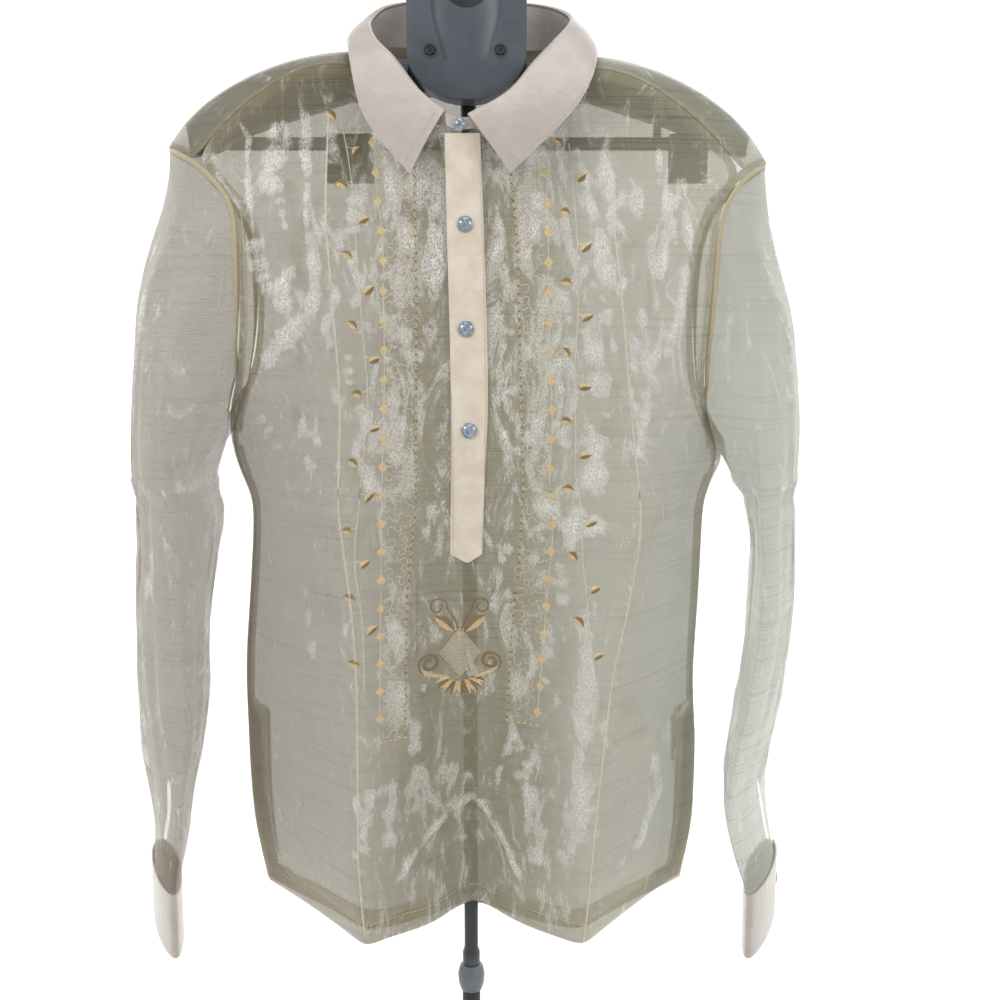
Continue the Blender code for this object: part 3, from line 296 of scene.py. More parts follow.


# Which way the painted light pales the tint: an axis, its scale and shift, and where the paling starts and
# ends
PAINTED_LIGHT_EASTWARD = (0, 2.0, 0.5, 0.25, 0.98)
PAINTED_LIGHT_DOWNWARD = (2, -1.0, 1.35, 0.30, 0.66)
MIDDLE_DENSE = 0.18
body_organza = organza(
    "body_organza", tint(126, 118, 93), tint(94, 78, 50), tint(156, 157, 132), PAINTED_LIGHT_EASTWARD, MIDDLE_DENSE
)
# Doubled organza of a yellower tone of its own; its paler ground also paints the hem's brighter sheen
seam_organza = organza("seam_organza", tint(192, 174, 130), tint(150, 130, 88), tint(200, 190, 154), PAINTED_LIGHT_EASTWARD)


def islands(mesh):
    """Groups of faces that hang together."""
    left = set(mesh.faces)
    while left:
        group, rim = set(), [left.pop()]
        while rim:
            face = rim.pop()
            group.add(face)
            for edge in face.edges:
                for other in edge.link_faces:
                    if other in left:
                        left.discard(other)
                        rim.append(other)
        yield group


def keep_object(name, mesh):
    """A new piece from a bmesh, which is then freed."""
    data = bpy.data.meshes.new(name)
    mesh.to_mesh(data)
    mesh.free()
    data.shade_smooth()
    piece = bpy.data.objects.new(name, data)
    bpy.context.scene.collection.objects.link(piece)
    return piece


def outer_sheet(node, name):
    """The outer face of a packed wall, as an open sheet of quads."""
    mesh = bmesh.new()
    mesh.from_mesh(nodes[node].data)
    bmesh.ops.remove_doubles(mesh, verts=mesh.verts, dist=0.00002)
    rims = [face for face in mesh.faces if min(edge.calc_length() for edge in face.edges) < RIM]
    bmesh.ops.delete(mesh, geom=rims, context="FACES")
    best, most = None, None
    for group in islands(mesh):
        middle = sum((face.calc_center_median() for face in group), Vector()) / len(group)
        reach = sum(face.calc_area() * face.normal.dot(face.calc_center_median() - middle) for face in group)
        if most is None or reach > most:
            best, most = group, reach
    bmesh.ops.delete(mesh, geom=[face for face in mesh.faces if face not in best], context="FACES")
    bmesh.ops.join_triangles(
        mesh, faces=mesh.faces, angle_face_threshold=math.radians(50), angle_shape_threshold=math.radians(60)
    )
    return keep_object(name, mesh)


def refine(piece, levels, kind="CATMULL_CLARK"):
    finer = piece.modifiers.new("finer", "SUBSURF")
    finer.subdivision_type = kind
    finer.levels = finer.render_levels = levels
    finer.boundary_smooth = "PRESERVE_CORNERS"
    apply_modifiers(piece)
    bpy.ops.object.shade_smooth()
    return piece


def points_of(piece):
    places = np.zeros(len(piece.data.vertices) * 3, np.float32)
    piece.data.vertices.foreach_get("co", places)
    return places.reshape(-1, 3).astype(float)


def normals_of(piece):
    ways = np.zeros(len(piece.data.vertices) * 3, np.float32)
    piece.data.vertex_normals.foreach_get("vector", ways)
    return ways.reshape(-1, 3).astype(float)


def put_points(piece, places):
    piece.data.vertices.foreach_set("co", places.astype(np.float32).ravel())
    piece.data.update()


def paint(piece, name, values):
    """A value for each vertex, for a finish to read."""
    layer = piece.data.attributes.new(name, "FLOAT", "POINT")
    layer.data.foreach_set("value", values.astype(np.float32))


def from_line(across, up, line):
    """For each place, how far it is from a bent line, and how far along the line that is."""
    apart = np.full(len(across), 9.0)
    share = np.zeros(len(across))
    lengths = [math.dist(a, b) for a, b in zip(line, line[1:])]
    done = 0.0
    for (x0, z0), (x1, z1), length in zip(line, line[1:], lengths):
        t = np.clip(((across - x0) * (x1 - x0) + (up - z0) * (z1 - z0)) / length**2, 0, 1)
        gap = np.hypot(across - x0 - t * (x1 - x0), up - z0 - t * (z1 - z0))
        nearer = gap < apart
        apart = np.where(nearer, gap, apart)
        share = np.where(nearer, (done + t * length) / sum(lengths), share)
        done += length
    return apart, share


def wavy(x, top, foot, sway, waves, phase, steps=10):
    """A wavering line down the cloth."""
    line = []
    for i in range(steps + 1):
        share = i / steps
        line.append((x + sway * math.sin(phase + waves * math.tau * share), top + (foot - top) * share))
    return line


def crease(piece, creases, sheen, across=None):
    """Lifts a sheet along its creases, a minus height being a trough, and paints a highlight along them."""
    places = points_of(piece)
    over = places[:, 0] if across is None else across(places)
    up = places[:, 2]
    lift = np.zeros(len(places))
    # Painted highlight for each vertex, raised along the ridges below
    light = sheen(over, up)
    for line, half_width, height, painted_glow in creases:
        xs = [x for x, _ in line]
        zs = [z for _, z in line]
        reach = 3 * half_width
        near = (over > min(xs) - reach) & (over < max(xs) + reach)
        near &= (up > min(zs) - reach) & (up < max(zs) + reach)
        apart, share = from_line(over[near], up[near], line)
        ends = np.clip(np.minimum(share, 1 - share) * 8 + 0.25, 0, 1)
        uneven = 0.80 + 0.20 * np.sin(share * 17 + line[0][0] * 90)
        ridge = np.exp(-((apart / half_width) ** 2)) * ends * uneven
        lift[near] += height * ridge
        # Painted highlight along each ridge, for the finish to mix into the colour
        light[near] = np.maximum(light[near], painted_glow * ridge)
    put_points(piece, places + normals_of(piece) * lift[:, None])
    paint(piece, "sheen", light)


# Lines down the front as x, z, each with its half width, its height and how much painted highlight it carries
FRONT_CREASES = [
    ([(-0.104, 1.165), (-0.106, 1.095), (-0.101, 1.019), (-0.097, 0.951), (-0.099, 0.874)],
     0.0026, 0.0013, 0.20),
    ([(-0.099, 0.870), (-0.090, 0.788), (-0.086, 0.678), (-0.087, 0.584), (-0.082, 0.517)],
     0.0026, 0.0015, 0.30),
    ([(0.099, 1.151), (0.109, 1.093), (0.124, 0.951), (0.133, 0.859)], 0.0026, 0.0013, 0.20),
    ([(0.133, 0.855), (0.124, 0.796), (0.106, 0.672), (0.097, 0.571), (0.092, 0.520)], 0.0026, 0.0015, 0.30),
    ([(-0.172, 0.866), (-0.120, 0.871), (-0.050, 0.869), (0.030, 0.872), (0.190, 0.864)],
     0.0042, -0.0018, 0.0),
    ([(-0.172, 0.878), (-0.100, 0.882), (0.000, 0.881), (0.100, 0.880), (0.190, 0.876)],
     0.0030, 0.0014, 0.42),
    ([(0.004, 0.620), (-0.026, 0.601), (-0.048, 0.578), (-0.061, 0.558)], 0.0040, 0.0034, 0.85),
    ([(0.004, 0.620), (0.025, 0.591), (0.045, 0.551)], 0.0042, 0.0034, 0.85),
    ([(-0.030, 0.595), (-0.045, 0.560), (-0.050, 0.530)], 0.0060, -0.0030, 0.0),
    ([(-0.165, 1.095), (-0.158, 1.030), (-0.166, 0.950)], 0.0045, -0.0022, 0.0),
    ([(0.176, 1.060), (0.172, 0.980), (0.178, 0.910)], 0.0045, -0.0022, 0.0),
    ([(-0.174, 1.163), (-0.165, 1.148), (-0.167, 1.132), (-0.165, 1.104), (-0.162, 1.075)],
     0.0030, 0.0012, 0.95),
    ([(-0.162, 1.075), (-0.158, 1.055), (-0.154, 1.039)], 0.0085, 0.0016, 0.95),
    ([(-0.121, 1.167), (-0.121, 1.132), (-0.119, 1.115)], 0.0050, 0.0012, 0.95),
    ([(-0.119, 1.115), (-0.121, 1.095), (-0.120, 1.079)], 0.0030, 0.0014, 0.95),
    ([(-0.120, 1.079), (-0.115, 1.062), (-0.114, 1.040), (-0.117, 1.022), (-0.125, 1.007)],
     0.0062, 0.0016, 0.95),
    ([(-0.125, 1.010), (-0.144, 0.993), (-0.159, 0.971)], 0.0085, 0.0018, 0.95),
    ([(-0.129, 1.049), (-0.142, 1.034), (-0.139, 1.015)], 0.0080, 0.0014, 0.95),
    ([(-0.142, 1.034), (-0.158, 1.036)], 0.0068, 0.0010, 0.90),
    ([(-0.148, 1.160), (-0.138, 1.145), (-0.152, 1.121), (-0.142, 1.104)], 0.0095, 0.0014, 0.85),
    ([(-0.142, 1.104), (-0.137, 1.077)], 0.0050, 0.0008, 0.75),
    ([(-0.102, 1.160), (-0.100, 1.126)], 0.0060, 0.0012, 0.90),
    ([(-0.085, 1.106), (-0.087, 1.074)], 0.0080, 0.0012, 0.80),
    ([(-0.070, 1.160), (-0.058, 1.120), (-0.052, 1.090), (-0.036, 1.055)], 0.0085, 0.0014, 0.85),
    ([(-0.057, 1.018), (-0.042, 0.990), (-0.033, 0.973)], 0.0100, 0.0014, 0.80),
    ([(-0.030, 1.089), (-0.020, 1.073), (-0.020, 1.037)], 0.0032, 0.0010, 0.90),
    ([(-0.089, 0.989), (-0.090, 0.962)], 0.0065, 0.0010, 0.75),
    ([(-0.048, 0.955), (-0.058, 0.920), (-0.046, 0.893)], 0.0110, 0.0014, 0.80),
    ([(-0.128, 0.932), (-0.112, 0.914)], 0.0048, 0.0010, 0.70),
    ([(0.081, 1.143), (0.091, 1.112), (0.096, 1.082)], 0.0048, 0.0012, 0.90),
    ([(0.096, 1.082), (0.103, 1.062), (0.109, 1.030)], 0.0080, 0.0014, 0.90),
    ([(0.102, 1.140), (0.108, 1.112), (0.110, 1.071)], 0.0045, 0.0012, 0.90),
    ([(0.086, 1.010), (0.099, 0.979), (0.102, 0.948)], 0.0115, 0.0014, 0.85),
    ([(0.096, 0.936), (0.099, 0.905), (0.102, 0.874)], 0.0130, 0.0014, 0.80),
    ([(0.053, 1.112), (0.051, 1.068), (0.037, 1.056)], 0.0070, 0.0012, 0.80),
    ([(0.021, 1.100), (0.028, 1.071), (0.016, 1.055)], 0.0036, 0.0010, 0.85),
    ([(0.037, 0.961), (0.023, 0.948)], 0.0052, 0.0010, 0.85),
    ([(0.058, 0.938), (0.037, 0.908)], 0.0080, 0.0012, 0.85),
    ([(0.052, 0.879), (0.084, 0.847), (0.106, 0.859)], 0.0085, 0.0014, 0.85),
    ([(0.021, 1.010), (0.033, 1.002), (0.023, 0.982)], 0.0045, 0.0010, 0.80),
    ([(0.144, 1.144), (0.151, 1.093), (0.146, 1.034)], 0.0048, 0.0016, 0.85),
    ([(0.163, 1.122), (0.168, 1.064), (0.161, 1.004)], 0.0062, 0.0018, 0.80),
    ([(0.131, 1.027), (0.139, 0.967), (0.133, 0.921)], 0.0056, 0.0014, 0.75),
    ([(0.068, 1.004), (0.071, 0.951)], 0.0046, 0.0010, 0.70),
    ([(-0.052, 0.815), (-0.057, 0.755), (-0.055, 0.679)], 0.0150, 0.0012, 0.68),
    ([(0.027, 0.805), (0.035, 0.752), (0.043, 0.682)], 0.0130, 0.0012, 0.66),
    ([(0.095, 0.796), (0.088, 0.704), (0.091, 0.642), (0.073, 0.565)], 0.0140, 0.0014, 0.70),
    ([(-0.066, 0.649), (-0.063, 0.589)], 0.0100, 0.0012, 0.62),
    ([(-0.019, 0.655), (-0.007, 0.573)], 0.0130, 0.0012, 0.60),
    ([(0.051, 0.642), (0.058, 0.568)], 0.0130, 0.0012, 0.66),
    ([(-0.130, 0.804), (-0.123, 0.734)], 0.0050, 0.0012, 0.50),
    ([(0.072, 0.827), (0.076, 0.788)], 0.0090, 0.0012, 0.70),
    ([(0.136, 0.574), (0.157, 0.622), (0.151, 0.662)], 0.0050, 0.0022, 0.75),
    ([(0.190, 0.690), (0.160, 0.672), (0.176, 0.640)], 0.0060, 0.0020, 0.60),
]
draw = random.Random(7)


def small_crease(x, top, foot, sways, waves, half_widths, heights, painted_glows):
    """A short wavering crease at x, with its sizes drawn from the spans given."""
    line = wavy(x, top, foot, draw.uniform(*sways), draw.uniform(*waves), draw.uniform(0, 6))
    return line, draw.uniform(*half_widths), draw.uniform(*heights), draw.uniform(*painted_glows)


for low, high, count in ((0.90, 1.15, 46), (0.60, 0.90, 26)):
    for _ in range(count):
        x = draw.choice((-1, 1)) * draw.uniform(0.022, 0.160 if low > 0.8 else 0.110)
        top = draw.uniform(low + 0.03, high)
        foot = top - draw.uniform(0.02, 0.07)
        spans = (0.002, 0.006), (0.5, 1.6), (0.0024, 0.0070), (0.0004, 0.0012), (0.45, 0.8)
        FRONT_CREASES.append(small_crease(x, top, foot, *spans))


def front_painted_sheen(x, z):
    """Painted highlight: most in the crushed middle of the front, little on the plain sides."""
    middle = np.clip(1.6 - np.abs(x - 0.010) / 0.085, 0, 1)
    high = np.clip((z - 0.86) / 0.05, 0, 1)
    return 0.08 + 0.20 * middle + 0.12 * high


def dress(piece, finish, slot, node=None):
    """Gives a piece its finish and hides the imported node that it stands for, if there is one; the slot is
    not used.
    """
    piece.data.materials.append(finish.material)
    if node:
        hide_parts(node)
    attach(piece, "root")
    return piece


def panel(node, name, levels, creases, sheen, cloth, across=None):
    """The outer face of a packed wall, made finer and creased."""
    piece = refine(outer_sheet(node, name), levels)
    crease(piece, creases, sheen, across)
    return dress(piece, cloth, "organza", node)


front = panel("front", "front_panel", SUBDIVISIONS, FRONT_CREASES, front_painted_sheen, body_organza)


def open_edge(piece, part):
    """Points along those open edges of a sheet that the test picks."""
    mesh = bmesh.new()
    mesh.from_mesh(piece.data)
    points = [vertex.co.copy() for vertex in mesh.verts if vertex.is_boundary and part(vertex.co)]
    mesh.free()
    return points


LAYER_BEHIND = 0.0009


def doubled(piece, name, part, depth):
    """A second layer behind a sheet along its open edge: a hem turned up, a facing or a seam allowance."""
    edge = open_edge(piece, part)
    tree = KDTree(len(edge))
    for i, point in enumerate(edge):
        tree.insert(point, i)
    tree.balance()
    mesh = bmesh.new()
    mesh.from_mesh(piece.data)
    mesh.normal_update()
    far = [face for face in mesh.faces if tree.find(face.calc_center_median())[2] > depth]
    for vertex in mesh.verts:
        vertex.co -= vertex.normal * LAYER_BEHIND
    bmesh.ops.delete(mesh, geom=far, context="FACES")
    return dress(keep_object(name, mesh), seam_organza, "organza")


HEM_DEPTH = 0.0165
VENT_TOP = 0.665
VENT_DEPTH = 0.021
SHOULDER_SEAM = 0.0070
ARMHOLE_SEAM = 0.0062
SIDE_SEAM = 0.0060


def on_hem(point):
    return point.z < 0.560 and abs(point.x) < 0.176


def on_vent(point):
    return abs(point.x) > 0.165 and point.z < VENT_TOP


def on_side(point):
    return abs(point.x) > 0.165 and VENT_TOP < point.z < 0.925


def on_armhole(point):
    return abs(point.x) > 0.165 and point.z > 0.915


def on_shoulder(point):
    return 0.085 < abs(point.x) < 0.21 and point.z > 1.130 and point.y < -0.025


def sewn_layers(piece, side):
    return [
        doubled(piece, side + "_" + name, part, depth)
        for name, part, depth in (
            ("hem_turned_up", on_hem, HEM_DEPTH),
            ("vent_facings", on_vent, VENT_DEPTH),
            ("side_seams", on_side, SIDE_SEAM),
            ("armhole_seams", on_armhole, ARMHOLE_SEAM),
            ("shoulder_seams", on_shoulder, SHOULDER_SEAM),
        )
    ]


front_layers = sewn_layers(front, "front")


# Embroidery and stitching
# Satin stitch in pale gold thread, with brown thread where its shade is painted, and a fine wandering line
# between, on both sides of the placket, and one ornament below it. Every stitch lies on the front's own
# surface. Hems are sewn with a paler thread.
THREAD_LIFT = 0.0004
LOOK_FROM = 0.4


def tree_of(piece):
    return BVHTree.FromPolygons(
        [vertex.co for vertex in piece.data.vertices], [polygon.vertices for polygon in piece.data.polygons]
    )


class Sewing:
    """Thread gathered for one piece: points on a cloth and the faces between them."""

    def __init__(self, tree, side):
        self.tree = tree
        self.side = side
        self.points = []
        self.faces = []

    def lay(self, x, z, lift):
        """A point this high over the cloth at x, z, or None where there is no cloth."""
        outside = Vector((x, self.side * LOOK_FROM, z))
        place, way, _, _ = self.tree.ray_cast(outside, Vector((0, -self.side, 0)))
        if place is None:
            return None
        if way.y * self.side < 0:
            way = -way
        self.points.append(place + way * lift)
        return len(self.points) - 1

    def fan(self, ring, centre, crown):
        """A domed patch: a closed outline and its raised middle."""
        edge = [self.lay(x, z, THREAD_LIFT * 0.4) for x, z in ring]
        top = self.lay(*centre, crown)
        if top is None or None in edge:
            return
        self.faces += [(a, b, top) for a, b in zip(edge, edge[1:] + edge[:1])]

    def thread(self, path, width, lift=THREAD_LIFT, taper=False):
        """A raised thread along a path."""
        rows = []
        for i, (x, z) in enumerate(path):
            x0, z0 = path[max(i - 1, 0)]
            x1, z1 = path[min(i + 1, len(path) - 1)]
            length = math.hypot(x1 - x0, z1 - z0) or 1.0
            half = width / 2 * (math.sin(math.pi * (0.12 + 0.76 * i / (len(path) - 1))) if taper else 1.0)
            out = ((z1 - z0) / length * half, -(x1 - x0) / length * half)
            row = [
                self.lay(x - out[0], z - out[1], THREAD_LIFT * 0.3),
                self.lay(x, z, lift),
                self.lay(x + out[0], z + out[1], THREAD_LIFT * 0.3),
            ]
            rows.append(row)
        for low, high in zip(rows, rows[1:]):
            if None in low or None in high:
                continue
            self.faces += [(low[0], low[1], high[1], high[0]), (low[1], low[2], high[2], high[1])]

    def finished(self, name, finish, slot):
        data = bpy.data.meshes.new(name)
        data.from_pydata(self.points, [], self.faces)
        data.shade_smooth()
        piece = bpy.data.objects.new(name, data)
        bpy.context.scene.collection.objects.link(piece)
        return dress(piece, finish, slot)


def thread_finish(name, dark, light, roughness):
    """Twisted silk thread: fine ribs, with a painted glint on them and painted shade between them."""
    thread = Finish(name)
    ribs = thread.noise(1.0, 2, thread.stretched((1400, 1400, 1900), (0.0, 0.5, 0.0)), 0.6)
    thread.set(
        Base_Color=thread.mix(thread.ramp(ribs, (0.36, 0.0), (0.60, 1.0)), dark, light),
        Roughness=roughness - ribs * 0.1,
        Normal=thread.bump(ribs, 0.5, 0.0005),
        Sheen_Weight=0.2,
    )
    return thread


gold_thread = thread_finish("gold_thread", tint(160, 130, 82), tint(230, 208, 162), 0.44)
# Brown thread paints the shade on the embroidery
brown_thread = thread_finish("brown_thread", tint(92, 74, 46), tint(148, 124, 82), 0.50)
pale_thread = thread_finish("pale_thread", tint(176, 164, 138), tint(224, 216, 196), 0.50)
seam_thread = thread_finish("seam_thread", tint(150, 138, 104), tint(190, 178, 144), 0.55)

front_tree = tree_of(front)
gold = Sewing(front_tree, -1)
brown = Sewing(front_tree, -1)
pale = Sewing(front_tree, -1)


def turned_by(x, z, angle):
    c, s = math.cos(angle), math.sin(angle)
    return x * c - z * s, x * s + z * c


def leaf(x, z, angle, length, width, bend=0.0, flip=False):
    """A leaf in satin stitch, one half gold and the other brown as painted shade, with a raised rib."""
    rib, left, right = [], [], []
    for i in range(6):
        share = i / 5
        along = length * (share - 0.5)
        across = bend * math.sin(math.pi * share)
        half = width / 2 * math.sin(math.pi * share) ** 0.75 * (1.15 - 0.3 * share)
        for places, offset in ((rib, 0.0), (left, half), (right, -half)):
            dx, dz = turned_by(along, across + offset, angle)
            places.append((x + dx, z + dz))
    first, second = (brown, gold) if flip else (gold, brown)
    for sewing, edge in ((first, left), (second, right)):
        inner = [sewing.lay(*place, THREAD_LIFT * 1.8) for place in rib]
        outer = [sewing.lay(*place, THREAD_LIFT * 0.4) for place in edge]
        if None in inner or None in outer:
            continue
        for i in range(5):
            sewing.faces.append((inner[i], inner[i + 1], outer[i + 1], outer[i]))


def lozenge(x, z, half_width, half_height, lean):
    """A small stepped diamond in gold satin stitch."""
    ring = []
    for share_x, share_z in (
        (0, 1), (0.25, 0.55), (0.5, 0.62), (0.6, 0.3),
        (1, 0), (0.6, -0.28), (0.5, -0.6), (0.22, -0.55),
        (0, -1), (-0.25, -0.55), (-0.5, -0.6), (-0.6, -0.3),
        (-1, 0), (-0.6, 0.3), (-0.45, 0.62), (-0.25, 0.55),
    ):
        dx, dz = turned_by(share_x * half_width, share_z * half_height, lean)
        ring.append((x + dx, z + dz))
    gold.fan(ring, (x, z), THREAD_LIFT * 2.0)


def along_line(line, spacing):
    """Evenly spaced places along a bent line, each with the line's own angle there."""
    places = []
    left = 0.0
    for (x0, z0), (x1, z1) in zip(line, line[1:]):
        length = math.hypot(x1 - x0, z1 - z0)
        angle = math.atan2(z1 - z0, x1 - x0)
        while left < length:
            t = left / length
            places.append((x0 + t * (x1 - x0), z0 + t * (z1 - z0), angle))
            left += spacing
        left -= length
    return places


def smooth_line(line, steps=6):
    """The same line rounded at its bends."""
    points = []
    ends = [line[0]] + list(line) + [line[-1]]
    for a, b, c, d in zip(ends, ends[1:], ends[2:], ends[3:]):
        for i in range(steps):
            t = i / steps
            weights = (-t + 2 * t**2 - t**3, 2 - 5 * t**2 + 3 * t**3, t + 4 * t**2 - 3 * t**3, t**3 - t**2)
            points.append(tuple(sum(w * p[k] for w, p in zip(weights, (a, b, c, d))) / 2 for k in (0, 1)))
    points.append(line[-1])
    return points


# Each side of the embroidery, as x, z from the top down: the dotted line by the placket, the column of
# diamonds, the vine with its leaves and the pale line beyond it
EMBROIDERY = {
    "left": (
        [(-0.039, 1.137), (-0.038, 1.027), (-0.040, 0.874), (-0.048, 0.794), (-0.051, 0.682)],
        [(-0.071, 1.144), (-0.067, 1.102), (-0.063, 1.065), (-0.063, 0.963), (-0.066, 0.874),
         (-0.070, 0.697)],
        [(-0.095, 1.164), (-0.087, 1.114), (-0.082, 1.048), (-0.078, 0.990), (-0.076, 0.951), (-0.083, 0.874),
         (-0.087, 0.828), (-0.082, 0.780), (-0.081, 0.725)],
        [(-0.104, 1.165), (-0.106, 1.095), (-0.101, 1.019), (-0.097, 0.951), (-0.099, 0.874), (-0.096, 0.841),
         (-0.090, 0.788), (-0.087, 0.729), (-0.087, 0.634), (-0.087, 0.584), (-0.082, 0.518)],
    ),
    "right": (
        [(0.033, 1.119), (0.038, 1.071), (0.040, 1.000), (0.043, 0.885), (0.040, 0.826), (0.034, 0.760),
         (0.031, 0.690)],
        [(0.058, 1.121), (0.061, 1.097), (0.062, 1.015), (0.065, 0.930), (0.063, 0.890), (0.066, 0.853),
         (0.062, 0.795), (0.055, 0.698)],
        [(0.077, 1.144), (0.083, 1.076), (0.082, 1.048), (0.084, 1.023), (0.082, 0.977), (0.083, 0.927),
         (0.083, 0.897), (0.088, 0.863), (0.089, 0.830), (0.094, 0.781), (0.095, 0.726)],
        [(0.109, 1.093), (0.117, 1.027), (0.124, 0.951), (0.133, 0.859), (0.125, 0.796), (0.113, 0.734),
         (0.106, 0.672), (0.101, 0.621), (0.097, 0.571), (0.092, 0.520)],
    ),
}
DIAMOND_STEP = 0.0222
LEAF_STEP = 0.0262
CURL_STEP = 0.0082
CURL_BEND = 0.62
DOT_STEP = 0.0021
LEAF_OUT = 0.0075


def arc(x, z, radius, start, step, span):
    """Places round a centre, a step of angle apart."""
    return [(x + radius * math.cos(start + step * i), z + radius * math.sin(start + step * i)) for i in span]


for dots, column, vine, beyond in EMBROIDERY.values():
    pale.thread(smooth_line(beyond), 0.0013, THREAD_LIFT * 1.4)
    pale.thread(smooth_line(vine), 0.0008)
    pale.thread(smooth_line(column), 0.0007)
    for x, z, _ in along_line(column, DIAMOND_STEP):
        lozenge(x, z, draw.uniform(0.0034, 0.0041), draw.uniform(0.0045, 0.0054), draw.uniform(-0.2, 0.3))
    for i, (x, z, _) in enumerate(along_line(vine, LEAF_STEP / 2)):
        if i % 2:
            continue
        way = 1 if i % 4 else -1
        tilt = draw.uniform(0.1, 0.9) * way
        length, width = draw.uniform(0.0082, 0.0106), draw.uniform(0.0054, 0.0070)
        leaf(x + way * LEAF_OUT, z, tilt, length, width, 0.0008, i % 4 == 0)
        pale.thread([(x, z + 0.003), (x + way * 0.0035, z + 0.002), (x + way * 0.006, z)], 0.0006)
    for i, (x, z, _) in enumerate(along_line(dots, DOT_STEP)):
        zig = 0.0009 * (1 if i % 2 else -1)
        sewing = gold if i % 3 else brown
        sewing.thread([(x - zig, z + 0.0008), (x + zig, z - 0.0008)], 0.0009, THREAD_LIFT * 1.5)
    low = min(z for _, z in dots)
    for x, z, _ in along_line(dots, CURL_STEP):
        edge = np.interp(-z, [-place[1] for place in column], [place[0] for place in column])
        count = max(int(abs(edge - x) / CURL_STEP), 2)
        for k in range(count):
            cx = x + (edge - x) * (k + 0.65) / (count + 0.3) + draw.uniform(-0.0016, 0.0016)
            cz = z + draw.uniform(-0.0024, 0.0024)
            turn = draw.uniform(0, math.tau)
            size = draw.uniform(0.0020, 0.0031)
            spin = draw.choice((-1, 1))
            path = arc(cx, cz, size, turn, spin * CURL_BEND, range(7))
            hook = (2 * path[-1][0] - cx, 2 * path[-1][1] - cz)
            back_turn = math.atan2(path[-1][1] - hook[1], path[-1][0] - hook[0])
            path += arc(*hook, size, back_turn, -spin * CURL_BEND, range(1, 5))
            pale.thread(path, 0.00062, THREAD_LIFT)
    for i in range(6):
        share = i / 5
        x = dots[-1][0] + (column[-1][0] - dots[-1][0]) * share
        end = (x + 0.0014, low - 0.0014 + 0.0006 * (i % 2))
        gold.thread([(x - 0.0014, low - 0.001), end], 0.0014, THREAD_LIFT * 1.6)
for x, z, _ in along_line([(-0.040, 0.811), (-0.041, 0.745)], 0.0024):
    brown.thread([(x, z), (x, z - 0.0013)], 0.0008)

# The ornament: a lattice diamond between two scrolls, on a fan of petals, under two leaves and two curls
ORNAMENT = (-0.0072, 0.7455)
LATTICE = 0.0165
LATTICE_ROWS = 6


def placed(u, v):
    return ORNAMENT[0] + u, ORNAMENT[1] + v


def spiral(way, u, v, radius, shrink, start, step, count):
    """A curl that winds in, on one side of the ornament."""
    places = []
    for i in range(count):
        turn = math.radians(start + step * i)
        reach = radius * (1 - shrink * i)
        places.append(placed(way * (u + reach * math.cos(turn)), v + reach * math.sin(turn)))
    return places


for i in range(-LATTICE_ROWS, LATTICE_ROWS + 1):
    step = i * LATTICE / (LATTICE_ROWS + 1)
    for way in (1, -1):
        lattice_line = [
            placed(way * ((step - LATTICE) / 2 + t * LATTICE), ((step + LATTICE) / 2 - t * LATTICE) * 1.25)
            for t in (0.0, 0.25, 0.5, 0.75, 1.0)
        ]
        pale.thread(lattice_line, 0.0006)
for way in (-1, 1):
    rim = [placed(0, LATTICE * 1.25), placed(way * LATTICE, 0), placed(0, -LATTICE * 1.25)]
    gold.thread(rim, 0.0010, THREAD_LIFT * 1.4)
    scroll = spiral(way, 0.0245, -0.0070, 0.0092, 0.036, -60, 27, 22)
    brown.thread(scroll, 0.0027, THREAD_LIFT * 2.0, taper=True)
    stem_places = (0.003, -0.026), (0.014, -0.021), (0.024, -0.0165), (0.031, -0.012)
    stem = [placed(way * u, v) for u, v in stem_places]
    gold.thread(smooth_line(stem), 0.0030, THREAD_LIFT * 1.8, taper=True)
    curl = spiral(way, 0.0175, 0.0400, 0.0078, 0.045, 200, -30, 16)
    brown.thread(curl, 0.0014, THREAD_LIFT * 1.6, taper=True)
    tail = [placed(way * 0.0008, 0.018), placed(way * 0.004, 0.028), placed(way * 0.0098, 0.0375)]
    brown.thread(smooth_line(tail), 0.0012, THREAD_LIFT * 1.5)
    x, z = placed(way * 0.0125, 0.0250)
    leaf(x, z, math.radians(90 - way * 48), 0.0215, 0.0088, 0.0010 * way, way > 0)
for i in range(-4, 5):
    turn = math.radians(-90 + i * 19)
    length = 0.0190 - 0.0009 * abs(i)
    reach = 0.004 + length / 2
    x, z = placed(math.cos(turn) * reach * 1.25, -0.0215 + math.sin(turn) * reach * 0.75)
    leaf(x, z, turn, length * 0.85, 0.0056, 0.0, i % 2 == 0)

embroidery = [
    gold.finished("gold_embroidery", gold_thread, "placket_satin"),
    brown.finished("brown_embroidery", brown_thread, "placket_satin"),
    pale.finished("pale_embroidery", pale_thread, "organza"),
]


HEM_ENDS = 0.168
EDGE_STEP = 0.004
HEM_STITCHES = HEM_DEPTH - 0.001


def hem_line(piece):
    """The line of a hem's stitches, from the places of its open edge."""
    edge = sorted((point.x, point.z) for point in open_edge(piece, on_hem) if point.z < 0.545)
    xs = [x for x, _ in edge]
    zs = [z for _, z in edge]
    across = np.arange(-HEM_ENDS, HEM_ENDS + EDGE_STEP, EDGE_STEP)
    return [(x, float(np.interp(x, xs, zs)) + HEM_STITCHES) for x in across]


def stitch_row(sewing, line, spacing=0.0030, length=0.0019, width=0.00075):
    for x, z, angle in along_line(line, spacing):
        dx, dz = length / 2 * math.cos(angle), length / 2 * math.sin(angle)
        sewing.thread([(x - dx, z - dz), (x + dx, z + dz)], width, THREAD_LIFT * 1.3)


